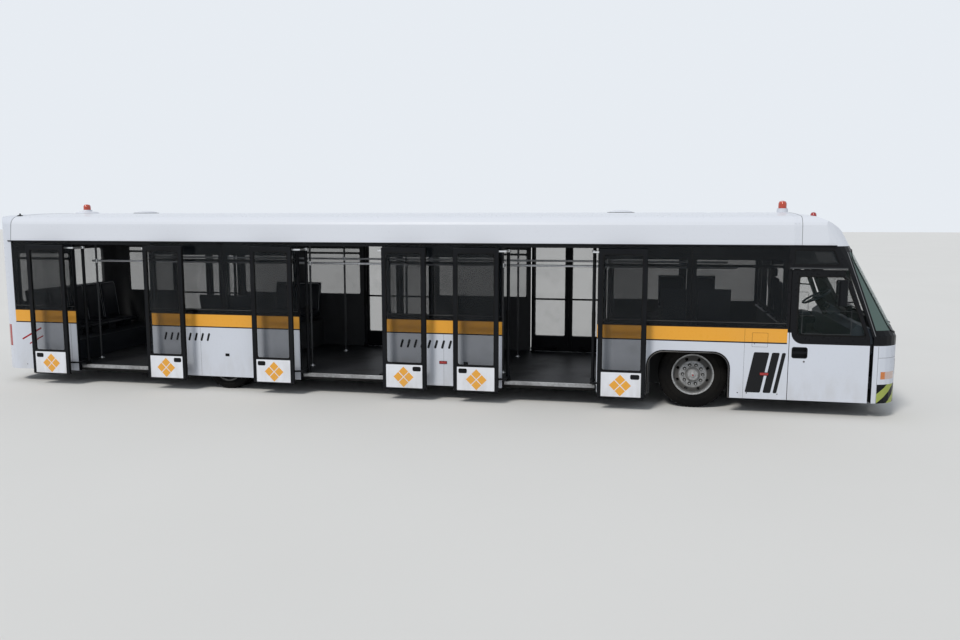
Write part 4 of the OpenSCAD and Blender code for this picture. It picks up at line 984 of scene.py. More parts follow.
for side, flip in SIDES.items():
    kit = Kit("side_trim_" + side, "bus_body", "door_black", seal_rubber, charcoal, dark_steel)
    kit.swept(arch_path(-half_w), [(0.022, 0.004), (0.022, -0.004), (0.012, -0.009), (-0.004, -0.008),
                                   (-0.007, -0.002), (-0.006, 0.016), (0.0, 0.018)], at=flip)
    # A thin dark-steel bead inside the rubber edge is a painted highlight along the arch's lip
    kit.swept(arch_path(-half_w), [(0.006, -0.0080), (0.004, -0.0096), (-0.003, -0.0092), (-0.004, -0.0070)],
              skin=2, at=flip)
    gutter = [(0.010, 0.002), (0.010, -0.010), (0.004, -0.016), (-0.004, -0.016), (-0.006, -0.006),
              (-0.010, 0.002)]
    kit.swept([(x, -half_w, gutter_z) for x in (tail_x + 0.24, nose_x - 0.93)], gutter, skin=1, at=flip)
    for x0, x1, panes in bays:
        kit.swept([(x, -half_w, glass_z0 - 0.005) for x in (x0, x1)], round_bead(0.014, 0.007), at=flip)
        # A thin dark-steel strip on the bead's top edge is a painted highlight along the foot of the glass
        kit.block((x0, -half_w - 0.0016, 1.2590), (x1, -half_w + 0.001, 1.2635), 0.0008, 2, flip)
        for i in range(1, panes):
            x = x0 + (x1 - x0) * i / panes
            kit.block((x - 0.0035, -half_w - 0.0005, glass_z0), (x + 0.0035, -half_w + 0.007, glass_z1),
                      0.001, at=flip)
    kit.done()

# %% [markdown]
# ## Flaps, locks and reflectors
#
# The lower panels are bolted on in lengths, with a fine joint between them. A square flap with a
# quarter-turn lock covers the filler, small black locks close the service panels, and red lamps mark
# the side.

# %% Side fittings
filler = (4.950, 5.150, 0.935, 1.125)
panel_joints = (-5.60, -3.30, 0.62, 4.850)
lock_xs = (-2.851, 0.95)
marker_xs = (0.610, 5.120)
screw_xs = (4.60, 4.78, 4.90, 5.30, -3.95, -1.80, -0.10, 1.30, -6.45, -5.65)
for side, flip in SIDES.items():
    kit = Kit("side_fittings_" + side, "bus_body", "body_white", side_paint, seal_rubber, red_lens,
              dark_steel)
    face = flip @ spot(y=-half_w)
    x0, x1, z0, z1 = filler
    kit.plate(rounded(x0 - 0.003, z0 - 0.003, x1 + 0.003, z1 + 0.003, 0.010), 0.0008, 0.0003, 1, face)
    kit.plate(rounded(x0, z0, x1, z1, 0.008), 0.0024, 0.0008, 0, face)
    lock = face @ spot(x0 + 0.03, 0, z0 + 0.04)
    kit.turned([(0, -0.004), (0.006, -0.004), (0.007, -0.002), (0.007, 0)], 20, 3, lock)
    for x in panel_joints:
        top = 1.180 if x > 4 else 0.980
        kit.block((x - 0.0012, -0.0006, skirt_z), (x + 0.0012, 0.001, top), 0.0002, 1, face)
    for x in lock_xs:
        kit.plate(rounded(x - 0.034, 0.538, x + 0.034, 0.582, 0.005), 0.003, 0.001, 1, face)
        kit.turned([(0, -0.005), (0.007, -0.005), (0.008, -0.003), (0.008, 0)], 16, 1,
                   face @ spot(x, 0, 0.560))
    for x in marker_xs:
        kit.plate(rounded(x - 0.055, 0.545, x + 0.055, 0.580, 0.008), 0.011, 0.003, 2, face)
        kit.plate(rounded(x - 0.060, 0.540, x + 0.060, 0.585, 0.010), 0.004, 0.001, 1, face)
    for x in screw_xs:
        kit.turned([(0, -0.0035), (0.005, -0.0030), (0.008, 0)], 12, 1, face @ spot(x, 0, skirt_z + 0.075))
    kit.done()

# %% [markdown]
# ## Passenger door leaves
#
# Each leaf is a charcoal frame round one tall pane, with a white panel below. The panel has a rounded
# pull plate near its outer corner and a cluster of four orange diamonds. Soft rubber closes the leaf's
# two edges. The pieces are drawn once, for the rear leaf of a closed right-hand door, and placed on
# each leaf with the same mirrors and shift as the CAD.

# %% Leaf places
leaf_x0, leaf_x1 = -door_w / 2 + 0.022, -0.004
leaf_z0, leaf_z1 = 0.190, 2.250
leaf_t, stile_w, leaf_rail, leaf_glass_z, leaf_panel_z = 0.045, 0.058, 0.070, 0.572, 0.545


def leaf_place(tag):
    """Where the drawn leaf stands for one of the twelve leaves."""
    side, number, end = tag.split("_")
    place = spot(door_xs[int(number) - 1])
    if end == "front":
        place = place @ Matrix.Scale(-1, 4, (1, 0, 0))
    if side == "left":
        place = place @ MIRROR
    low, high = (place.inverted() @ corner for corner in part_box("leaf_" + tag))
    return place @ spot(min(low.x, high.x) - leaf_x0, min(low.y, high.y) + half_w)


def ring_plate(kit, outline, width, depth, skin, at):
    """A flat frame of even width round an outline in x and z, standing proud by its depth."""
    half = width / 2
    section = [(-half, 0.001), (-half, -depth * 0.6), (-half * 0.6, -depth), (half * 0.6, -depth),
               (half, -depth * 0.6), (half, 0.001)]
    kit.swept([(x, 0, z) for x, z in outline], section, True, skin, at)


print("leaves are", round(leaf_x1 - leaf_x0, 3), "m wide")

# %% Leaf trim
orange_film = painted("orange_film", ORANGE, 0.3)
for tag in leaf_tags:
    kit = Kit("leaf_trim_" + tag, "leaf_" + tag, "door_black", seal_rubber, panel_paint, orange_film,
              charcoal)
    outer = leaf_place(tag) @ spot(y=-half_w)
    glass = rounded(leaf_x0 + stile_w, leaf_glass_z, leaf_x1 - stile_w, leaf_z1 - leaf_rail, 0.030)
    ring_plate(kit, glass, 0.014, 0.003, 0, outer)
    px0, px1, pz0, pz1 = leaf_x0 + stile_w - 0.006, leaf_x1 - stile_w + 0.006, leaf_z0 + 0.012, leaf_panel_z
    kit.plate(rounded(px0 - 0.008, pz0 - 0.006, px1 + 0.008, pz1 + 0.008, 0.010), 0.0012, 0.0005, 0, outer)
    kit.plate(rounded(px0, pz0, px1, pz1, 0.006), 0.0026, 0.0008, 1, outer)
    cx, cz, reach = (px0 + px1) / 2 + 0.010, (pz0 + pz1) / 2 - 0.010, 0.072
    for x, z in circle(reach * 1.12, 4, cx, cz):
        kit.plate(circle(reach, 4, x, z), 0.0031, 0.0002, 2, outer)
    hx0, hz0 = px0 + 0.022, pz1 - 0.092
    kit.plate(rounded(hx0, hz0, hx0 + 0.125, hz0 + 0.068, 0.022), 0.0052, 0.002, 0, outer)
    kit.plate(rounded(hx0 + 0.012, hz0 + 0.012, hx0 + 0.095, hz0 + 0.052, 0.016), 0.0058, 0.001, 3, outer)
    for x0, x1 in ((leaf_x0 - 0.008, leaf_x0), (leaf_x1, leaf_x1 + 0.003)):
        kit.block((x0, 0.006, leaf_z0 + 0.002), (x1, leaf_t - 0.006, leaf_z1 - 0.004), 0.003, 0, outer)
    kit.block((leaf_x0 + 0.010, 0.012, leaf_z0 - 0.010), (leaf_x1 - 0.010, 0.020, leaf_z0 + 0.002),
              0.002, 0, outer)
    kit.block((leaf_x0 + 0.08, leaf_t, leaf_z1 - 0.060), (leaf_x0 + 0.30, leaf_t + 0.010, leaf_z1 - 0.030),
              0.002, 3, outer)
    kit.block((leaf_x0 + 0.020, leaf_t, 1.225), (leaf_x1 - 0.020, leaf_t + 0.022, 1.256), 0.005, 3, outer)
    kit.done()

# %% [markdown]
# ## Posts and arms
#
# Each leaf hangs from a post that turns just inside the doorway, on two bent arms of bare steel, and the post
# wears a clamp at each arm and a rubber boot at its foot. The upper arm and its clamp are bare steel; the
# lower arm and its clamp are charcoal as painted shade. The clamps are turned forms round the post's axis.

# %% Post trim
arm_zs = (floor_z + 0.062, 2.206)
post_x, post_y = -door_w / 2 + 0.060, -half_w + 0.170


def arm_lit_and_shaded(axis):
    """Bare steel on the upper arm, charcoal elsewhere on a post; the lower arm's charcoal is painted shade on
    the same steel.
    """
    def choose(centre, normal):
        return int(math.hypot(centre.x - axis.x, centre.y - axis.y) > 0.029 and centre.z > 1.5)
    return choose


for tag in leaf_tags:
    side, number, end = tag.split("_")
    hand = -1 if end == "front" else 1
    axis = SIDES[side] @ spot(door_xs[int(number) - 1] + hand * post_x, post_y)
    dress("post_" + tag, charcoal, bright_metal, choose=arm_lit_and_shaded(axis.translation))
    kit = Kit("post_trim_" + tag, "post_" + tag, "post_black", charcoal, bright_metal, seal_rubber)
    up = axis @ UPRIGHT
    for z in arm_zs:
        # The lower clamp takes charcoal as painted shade, the upper one bare steel
        kit.turned([(0.0252, z - 0.0200), (0.0330, z - 0.0195), (0.0345, z - 0.0175), (0.0345, z + 0.0175),
                    (0.0330, z + 0.0195), (0.0252, z + 0.0200)], 32, 0 if z < 1 else 1, up)
    kit.turned([(0.0252, floor_z + 0.034), (0.028, floor_z + 0.033), (0.032, floor_z + 0.020),
                (0.042, floor_z + 0.012), (0.044, floor_z + 0.0035), (0.0252, floor_z + 0.0030)], 32, 2, up)
    kit.turned([(0.0252, 1.060), (0.0275, 1.062), (0.0275, 1.340), (0.0252, 1.342)], 32, 2, up)
    kit.done()

# %% [markdown]
# ## Door sills, floor covering and stanchion feet
#
# The deck's edge in each doorway is a ribbed aluminium strip, the brightest line low on the bus. Behind
# it lies a speckled vinyl. A vinyl's chips are cells of a Voronoi pattern that are lighter or darker
# than their ground, which is cheaper and sharper than noise.

# %% Floor covering


def speckled(name, ground, light, dark):
    """Vinyl with light and dark chips."""
    finish = Finish(name, roughness=0.5, Specular_IOR_Level=0.20)
    chips = finish.node("ShaderNodeTexVoronoi", {}, {"Vector": finish.where(), "Scale": 190.0}, out=1)
    tone = finish.node("ShaderNodeSeparateColor", {}, [chips])
    colour = finish.mix(tone < 0.14, finish.mix(tone > 0.86, ground, light), dark)
    wear = finish.ramp(finish.noise(1.7, 5.0), 0.45, 0.75, 0.0, 0.5)
    finish.link("Base Color", finish.mix(wear, colour, (0.016, 0.0155, 0.015)))
    finish.link("Roughness", wear * 0.25 + 0.42)
    finish.bump(finish.noise(420.0, 2.0), 0.2, 0.0004)
    return finish.material


# The vinyl's near-black ground is darkened as painted shade of the cabin floor
vinyl = speckled("floor_vinyl", (0.013, 0.014, 0.017), (0.046, 0.048, 0.052), (0.007, 0.007, 0.008))
dress("floor_frame", underbody, vinyl,
      choose=lambda centre, normal: int(normal.z > 0.9 and centre.z > floor_z - 0.002))
print("floor covered")

# %% [markdown]
# Each sill is a row of bars: the edge strip, the tread plate with its six ribs, and a rubber lip below.

# %% Door sills
kit = Kit("door_sills", "bus_body", "rail_steel", sill_metal, seal_rubber)
sill_reach = 0.655
sill_bars = [(0, 0.0485, 0.0520, -0.040, 0.0035, 0), (0, 0.0500, 0.1150, 0.0003, 0.0035, 0),
             (-0.004, 0.0505, 0.0540, -0.076, -0.042, 1)]
sill_bars += [(0.004, 0.056 + i * 0.0105, 0.061 + i * 0.0105, 0.003, 0.0058, 0) for i in range(6)]
for flip in SIDES.values():
    for x, (short, y0, y1, z0, z1, skin) in product(door_xs, sill_bars):
        kit.block((x - sill_reach + short, y0 - half_w, floor_z + z0),
                  (x + sill_reach - short, y1 - half_w, floor_z + z1), 0.001, skin, flip)
kit.done()

# %% [markdown]
# Every stanchion stands in a foot and has a collar at the handrail and a cup under the ceiling.

# %% Stanchion feet
rail_y, rail_z, rail_r = 0.760, 1.960, 0.017
kit = Kit("rail_clamps", "bus_body", "rail_steel", bright_metal)
for flip in SIDES.values():
    for x in door_xs:
        for end in (-1, 1):
            foot = flip @ spot(x + end * (door_w / 2 + 0.120), -rail_y) @ UPRIGHT
            kit.turned([(rail_r, floor_z + 0.030), (rail_r + 0.004, floor_z + 0.028),
                        (rail_r + 0.006, floor_z + 0.012), (0.044, floor_z + 0.008), (0.046, floor_z + 0.001),
                        (rail_r, floor_z + 0.001)], 28, 0, foot)
            kit.turned([(rail_r, rail_z - 0.034), (rail_r + 0.005, rail_z - 0.032),
                        (rail_r + 0.005, rail_z + 0.032), (rail_r, rail_z + 0.034)], 28, 0, foot)
            kit.turned([(rail_r, 2.640), (rail_r + 0.006, 2.648), (0.040, 2.668), (0.042, 2.680)],
                       28, 0, foot)
kit.done()

# %% [markdown]
# ## Lights in the ceiling
#
# Two rows of diffusers run under the ceiling. They are off in daylight, so they only glow a little,
# and their long white lines give the dark cabin some depth.

# %% Ceiling lights
diffuser = Finish("light_diffuser", roughness=0.35)
ridges = (diffuser.place()[0] * 220.0).sine()
diffuser.link("Base Color", diffuser.mix(ridges > 0.2, (0.80, 0.82, 0.84), (0.72, 0.74, 0.77)))
diffuser.glow((0.85, 0.9, 1.0), 0.35)
diffuser.bump(ridges, 0.4, 0.002)
kit = Kit("ceiling_lights", "bus_body", "trim", diffuser.material, charcoal)
lamp_length, lamp_gap = 1.30, 0.16
for flip in SIDES.values():
    for i in range(7):
        x = side_x0 + 0.85 + i * (lamp_length + lamp_gap)
        kit.block((x, -0.600, 2.664), (x + lamp_length, -0.480, 2.688), 0.006, 1, at=flip)
        kit.block((x + 0.02, -0.588, 2.655), (x + lamp_length - 0.02, -0.492, 2.668), 0.005, 0, at=flip)
kit.done()

# %% [markdown]
# ## Cab doors
#
# Each cab door has a rubber gasket round its window, a black pull cup, and a tall mirror of two panes on
# its front post. Over the door runs a grey drip rail.

# %% Places on a cab door
cab_back, cab_front, cab_top = side_x1 + 0.030, nose_x - 0.455, 1.990
cab_slant_z, cab_slant_run, cab_frame = 1.090, 0.315, 0.085
cab_window = [(cab_back + cab_frame, 1.110), (cab_front - 0.0595, 1.110),
              (cab_front - 0.0595, cab_slant_z + 0.060),
              (cab_front - cab_slant_run * 0.86 - cab_frame, cab_top - cab_frame),
              (cab_back + cab_frame, cab_top - cab_frame)]
cup_x0, cup_x1, cup_z0, cup_z1 = cab_back + 0.045, cab_back + 0.225, 0.805, 0.935
mirror_x, mirror_y, mirror_z = cab_front - cab_slant_run - 0.105, 1.780, 1.705
pane_y = -half_w + 0.008


def softened(outline, r, steps=5):
    """An outline whose corners are cut by short arcs of about r."""
    n, points = len(outline), []
    for i in range(n):
        a, b, c = (Vector((*outline[j % n], 0)) for j in (i - 1, i, i + 1))
        start, end = b + (a - b).normalized() * r, b + (c - b).normalized() * r
        for k in range(steps + 1):
            t = k / steps
            p = start * (1 - t) ** 2 + b * 2 * t * (1 - t) + end * t ** 2
            points.append((p.x, p.y))
    return points


def cab_door_kind(centre, normal):
    """Paint, lining, edges, pane, and black for the cup, its handle and the mirror; the door's front edge at
    the hinges takes charcoal as painted shade in the gap.
    """
    # The front edge at the hinges is charcoal as painted shade in the gap
    hinge_gap_shade = centre.x > cab_front - 0.001 and centre.z < 1.100
    in_cup = cup_x0 - 0.001 < centre.x < cup_x1 + 0.001 and cup_z0 - 0.001 < centre.z < cup_z1 + 0.001
    if abs(centre.y) > half_w + 0.0005 or hinge_gap_shade or (in_cup and half_w - abs(centre.y) > 0.001):
        return 2
    return in_cab_pane(centre, normal)


print("cab doors from", round(cab_back, 3), "to", round(cab_front, 3))

# %% Cab door trim
for side, flip in SIDES.items():
    dress("cab_door_" + side, cab_paint, lining, charcoal, cab_glass, choose=cab_door_kind)
    kit = Kit("cab_trim_" + side, "cab_door_" + side, "door_black", seal_rubber, charcoal, mirror_glass,
              dark_steel, grey_trim_and_stanchion_shade)
    # The sliding light's thin metal edge lies on the pane
    ring_plate(kit, rounded(cab_back + 0.150, 1.130, cab_front - 0.245, 1.440, 0.012), 0.006, 0.002, 4,
               flip @ spot(y=pane_y))
    face = flip @ spot(y=-half_w)
    ring_plate(kit, softened(inset(cab_window[::-1], -0.003)[::-1], 0.045), 0.018, 0.004, 0, face)
    cup = rounded(cup_x0 - 0.004, cup_z0 - 0.004, cup_x1 + 0.004, cup_z1 + 0.004, 0.022)
    ring_plate(kit, cup, 0.016, 0.004, 1, face)
    lock = face @ spot(cup_x1 - 0.03, 0, cup_z0 - 0.055)
    kit.turned([(0, -0.006), (0.010, -0.006), (0.012, -0.004), (0.012, 0)], 24, 3, lock)
    # Mirror: a deep rim round a flat pane above a bulged one, looking back along the bus
    back = flip @ spot(mirror_x - 0.055, -mirror_y + 0.095, mirror_z, -90)
    ring_plate(kit, rounded(-0.086, -0.158, 0.086, 0.158, 0.030), 0.012, 0.006, 1, back)
    kit.plate(rounded(-0.078, -0.040, 0.078, 0.150, 0.018), 0.0022, 0.0008, 2, back)
    kit.plate(rounded(-0.078, -0.150, 0.078, -0.052, 0.018), 0.0040, 0.0030, 2, back)
    for end in (-1, 1):
        z = mirror_z + end * (0.330 / 2 - 0.030)
        joint = flip @ spot(mirror_x + 0.012, -mirror_y + 0.120) @ UPRIGHT
        kit.turned([(0, z + 0.022), (0.016, z + 0.020), (0.020, z + 0.012), (0.020, z - 0.012),
                    (0.016, z - 0.020), (0, z - 0.022)], 20, 1, joint)
    kit.done()

# %% [markdown]
# ## Roof
#
# A sealed joint crosses the roof at each end, and a ribbed strip with a row of rivets covers the one
# before the front cap. The joints are thin strips laid along the roof's own section, which is a wide
# bow between two round edges.

# %% The roof's section
roof_half, roof_edge_r, roof_bow = half_w - 0.025, 0.160, 15.0


def bow_drop(half, r, bow):
    """The angle and the fall of a bow where its round corner starts."""
    slope = math.asin((half - r) / (bow - r))
    return slope, (bow - r) * (1 - math.cos(slope))


def bow_at(y, half, r, bow):
    """How far a bowed edge with round corners lies behind its middle, at y."""
    slope, drop = bow_drop(half, r, bow)
    y = min(abs(y), half)
    if y < half - r + r * math.sin(slope):
        return bow - math.sqrt(bow * bow - y * y)
    return r + drop - math.sqrt(max(0.0, r * r - (y - half + r) ** 2))


def roof_drop(y):
    """How far the roof has fallen at y."""
    return bow_at(y, roof_half, roof_edge_r, roof_bow)


def roof_arc(x, lift):
    """Points over the roof at x, from the right gutter to the left one."""
    ys = [roof_half - roof_edge_r * (1 - math.cos(math.radians(9 * i))) for i in range(10)]
    ys += [roof_half - roof_edge_r - (roof_half - roof_edge_r) * i / 12 for i in range(13)]
    points = [(x, -half_w - lift + 0.0025, gutter_z + 0.012)]
    points += [(x, -y - lift * (y > roof_half - 0.02), roof_z - roof_drop(y) + lift) for y in ys]
    return points + [(x, -y, z) for _, y, z in points[::-1][1:]]


def over_roof(kit, x, width, height, skin):
    """A flat strip across the roof at x."""
    inner, outer = roof_arc(x, -0.002), roof_arc(x, height)
    rings = [(inner, -width / 2), (outer, (height - width) / 2), (outer, (width - height) / 2),
             (inner, width / 2)]
    points = [(x + shift, p[1], p[2]) for ring, shift in rings for p in ring]
    n = len(inner)
    faces = [[r * n + i, r * n + i + 1, (r + 1) % 4 * n + i + 1, (r + 1) % 4 * n + i]
             for r in range(4) for i in range(n - 1)]
    faces += [[0, n, 2 * n, 3 * n], [n - 1, 4 * n - 1, 3 * n - 1, 2 * n - 1]]
    kit.add(points, faces, skin)


print("the roof falls", round(roof_drop(1.2), 3), "m at 1.2 m from its middle")

# %% Roof seams, ribs and small lamps
sealant = grained("roof_sealant", (0.150, 0.160, 0.170), (0.200, 0.210, 0.220), 0.60)
kit = Kit("roof_trim", "bus_body", "body_white", roof_paint, seal_rubber, red_lens, charcoal, bright_metal,
          sealant)
over_roof(kit, side_x0, 0.010, 0.0015, 5)
cap_x = nose_x - 1.370
over_roof(kit, cap_x + 0.004, 0.008, 0.0015, 5)
over_roof(kit, cap_x - 0.060, 0.075, 0.0030, 0)
for x in (cap_x - 0.075, cap_x - 0.060, cap_x - 0.045):
    over_roof(kit, x, 0.007, 0.0055, 0)
for x, k in product((cap_x - 0.086, cap_x - 0.034), range(6)):
    up = 0.035 + k * 0.052
    for flip in SIDES.values():
        kit.turned([(0, -0.0030), (0.004, -0.0024), (0.0055, 0)], 12, 4,
                   flip @ spot(x, -half_w - 0.0015 + 0.025 * up / 0.23, gutter_z + up))
lamp_x, lamp_y = 5.720, 1.150
cap_fall = 1.125 - math.sqrt(1.125 ** 2 - (lamp_x - (nose_x - 1.550)) ** 2)
for flip in SIDES.values():
    stand = flip @ spot(lamp_x, -lamp_y, roof_z - cap_fall - roof_drop(lamp_y)) @ UPRIGHT
    kit.turned([(0, -0.02), (0.052, -0.02), (0.052, 0.012), (0.046, 0.018), (0, 0.018)], 32, 3, stand)
    kit.turned([(0.040, 0.016), (0.041, 0.062), (0.034, 0.086), (0.020, 0.098), (0, 0.102)], 32, 2, stand)
stand = spot(-6.640, -1.220, roof_z - roof_drop(1.220)) @ UPRIGHT
kit.turned([(0, -0.01), (0.045, -0.01), (0.045, 0.006), (0.030, 0.014), (0.012, 0.018), (0.010, 0.040),
            (0, 0.042)], 28, 3, stand)
for x in (tail_x + 1.770, tail_x + 10.000):
    kit.turned([(0.186, -0.004), (0.196, 0.004), (0.203, 0.006), (0.210, 0.003), (0.212, -0.006)], 56, 1,
               spot(x, 0, roof_z) @ UPRIGHT)
kit.done()

# %% [markdown]
# ## Nose and tail
#
# The nose carries two slatted air inlets, headlamp rims, rub strips and a rubber-edged windscreen. The
# tail has rub strips, reflectors and the locks of a service flap. Both faces are bowed, and nothing may
# stand out beyond the middle of the bow, so these pieces sit where the bow has fallen back. They are
# bent too: their points are pushed back by the bow at their own y.

# %% Bowed faces


def bent(kit, start, bow):
    """Pushes all points added since start back along x, by the bow at their y."""
    for p in kit.points[start:]:
        p.x += bow(p.y)


def span(hand, y0, y1):
    """Both ends on one side of the middle, the lower one first."""
    return sorted((hand * y0, hand * y1))


def nose_bow(y): return -bow_at(y, half_w, 0.350, 12.0)
def tail_bow(y): return bow_at(y, half_w, 0.230, 30.0)


def rim(kit, outline, width, depth, skin, at, bow):
    """A flat frame on a bowed face."""
    start = len(kit.points)
    ring_plate(kit, outline, width, depth, skin, at)
    bent(kit, start, bow)


def long_rounded(x0, z0, x1, z1, r, cuts=16):
    """A round-cornered rectangle whose long sides have extra points to bend at."""
    top = [(x1 - r - (x1 - x0 - 2 * r) * i / cuts, z1) for i in range(1, cuts)]
    bottom = [(x0 + r + (x1 - x0 - 2 * r) * i / cuts, z0) for i in range(1, cuts)]
    corner = rounded(x0, z0, x1, z1, r)
    return corner[:6] + top + corner[6:18] + bottom + corner[18:]


NOSE, TAIL = spot(nose_x, turn=90), spot(tail_x, turn=-90)
print("the nose falls back", round(-nose_bow(1.2), 3), "m at 1.2 m from its middle")

# %% Inlets and lamps of the nose
kit = Kit("nose_trim", "bus_body", "door_black", seal_rubber, charcoal, grey_trim_and_stanchion_shade)
grille_y0, grille_y1, grille_z, slat = 0.500, 1.150, 0.872, 0.050
vane_pitch, vane_h, strip_z0, strip_z1 = 0.0125, 0.007, 0.486, 0.540
lamp_y0, lamp_y1, lamp_z0, lamp_z1 = 0.770, 1.190, 0.550, 0.810
for hand in (-1, 1):
    start = len(kit.points)
    for k in range(13):
        y0, y1 = span(hand, grille_y0 + k * slat, grille_y0 + (k + 1) * slat)
        for i in range(9):
            z = grille_z + i * vane_pitch
            kit.block((y0 - 0.0002, -0.007, z), (y1 + 0.0002, 0.002, z + vane_h), 0.001, 1, NOSE)
        if 0.62 < grille_y0 + k * slat < 1.10:
            kit.block((y0 - 0.0002, -0.011, strip_z0), (y1 + 0.0002, 0.002, strip_z1), 0.001, 1, NOSE)
    bent(kit, start, nose_bow)
    y0, y1 = span(hand, grille_y0 - 0.004, grille_y1 + 0.004)
    rim(kit, long_rounded(y0, grille_z - 0.010, y1, grille_z + 0.122, 0.020), 0.012, 0.007, 1, NOSE, nose_bow)
    y0, y1 = span(hand, lamp_y0, lamp_y1)
    rim(kit, long_rounded(y0, lamp_z0, y1, lamp_z1, 0.040, 8), 0.022, 0.005, 1, NOSE, nose_bow)
print(len(kit.points), "points on the nose so far")

# %% [markdown]
# The windscreen leans back and is bowed like the nose, so its gasket is swept along an outline that is
# drawn flat and laid on that slope.

# %% Windscreen and cab edges
screen_foot = Vector((nose_x - 0.030, 0, 1.170))
screen_run, screen_rise = 0.62153, 1.14204
lean, screen_length = math.atan(screen_run / screen_rise), math.hypot(screen_run, screen_rise)
slope_up = Vector((-math.sin(lean), 0, math.cos(lean)))
slope_out = Vector((math.cos(lean), 0, math.sin(lean)))
screen = long_rounded(-1.395, 0.025, 1.395, screen_length - 0.030, 0.135, 20)
path = [screen_foot + Vector((0, y, 0)) + slope_up * s - slope_out * bow_at(y, half_w, 0.300, 12.0)
        for y, s in screen]
gasket = [(0.010, -0.003), (0.010, 0.003), (0.004, 0.006), (-0.006, 0.006), (-0.012, 0.002), (-0.012, -0.003)]
kit.swept(path, gasket, True, 0, up=slope_out)
for flip in SIDES.values():
    # A dark rubber sheet in the hinge gap of the cab door, under the floor, is painted shade: it hides the
    # pale floor seen through the gap
    kit.block((nose_x - 0.448, -half_w + 0.078, 0.215), (nose_x - 0.398, -half_w + 0.083, 0.470),
              0.001, 0, flip)
    # The drip rail over the cab door is an angle: a floor and an upstand
    for top, inner in ((2.005, 0.002), (2.020, -0.012)):
        kit.block((side_x1 - 0.004, -half_w - 0.016, 2.000), (6.120, -half_w + inner, top), 0.001, 2, flip)
    light = [(cab_back + 0.020, 2.060), (cab_front - cab_slant_run - 0.110, 2.060),
             (cab_front - cab_slant_run - 0.190, 2.250), (cab_back + 0.020, 2.250)]
    ring_plate(kit, softened(light, 0.020), 0.012, 0.003, 0, flip @ spot(y=-half_w))
kit.done()

# %% Tail
kit = Kit("tail_trim", "bus_body", "body_white", seal_rubber, charcoal, red_lens)
strip_y0, strip_cut = 0.740, 0.058
for hand in (-1, 1):
    start = len(kit.points)
    for k in range(9):
        y0, y1 = span(hand, strip_y0 + k * strip_cut, strip_y0 + (k + 1) * strip_cut)
        kit.block((y0 - 0.0002, -0.008, 0.440), (y1 + 0.0002, 0.002, 0.520), 0.001, 0, TAIL)
    lock_y, mark_y = hand * 0.78, hand * 1.05
    kit.plate(rounded(lock_y - 0.020, 0.640, lock_y + 0.020, 0.660, 0.005), 0.004, 0.001, 1, TAIL)
    kit.plate(rounded(mark_y - 0.038, 0.562, mark_y + 0.038, 0.598, 0.006), 0.005, 0.001, 2, TAIL)
    bent(kit, start, tail_bow)
    rim(kit, rounded(mark_y - 0.040, 0.560, mark_y + 0.040, 0.600, 0.006), 0.004, 0.006, 1, TAIL, tail_bow)
kit.done()

# %% [markdown]
# ## Painted marks
#
# The white panels carry a plain pattern: rows of short slanted bars, three leaning black bars by the
# cab door and two thin red ones at the rear. They are films, a fraction of a millimetre thick.

# %% Livery marks
black_film = painted("black_film", BLACK, 0.02, 0.35)
red_film = painted("red_film", (0.30, 0.008, 0.014), 0.2)


def slanted(x, z, length, width, lean):
    """A rounded bar of some length that leans forward."""
    across, along = math.cos(math.radians(lean)), math.sin(math.radians(lean))
    bar = rounded(-width / 2, -length / 2, width / 2, length / 2, width / 2 * 0.98, 4)
    return [(x + px * across + pz * along, z - px * along + pz * across) for px, pz in bar]


kit = Kit("livery_marks", "bus_body", "body_white", black_film, red_film)
film = 0.0006
for flip in SIDES.values():
    face = flip @ spot(y=-half_w)
    for x0, i in product((-3.900, -0.020), range(8)):
        kit.plate(slanted(x0 + i * 0.105, 0.830, 0.130, 0.034, 16), film, 0.0002, 0, face)
    for foot, width in ((4.875, 0.200), (5.110, 0.100), (5.240, 0.050)):
        bar = [(foot, 0.300), (foot + width, 0.300), (foot + width + 0.105, 0.860), (foot + 0.105, 0.860)]
        kit.plate(softened(bar, 0.020), film, 0.0002, 0, face)
    for x, z, length, width in ((-6.330, 0.800, 0.420, 0.026), (-6.250, 0.700, 0.300, 0.020)):
        kit.plate(slanted(x, z, length, width, 62), film, 0.0002, 1, face)
kit.done()

# %% [markdown]
# ## Seat cushions
#
# The passenger seats are moulded shells with thin pads, edged by a light piping that shows as fine
# lines in the dark cabin. A pad is a closed form: its outline pulls in a little between the corners,
# its top is crowned, and its sewn channels are shallow valleys. One function makes it from a grid over
# the square that is pushed out to that shape.

# %% A crowned pad
leatherette = grained("seat_leatherette", (0.016, 0.018, 0.024), (0.028, 0.030, 0.036), 0.46, 520.0, 0.4)
piping = grained("seat_piping", (0.30, 0.31, 0.33), (0.38, 0.39, 0.41), 0.55, 300.0, 0.3)


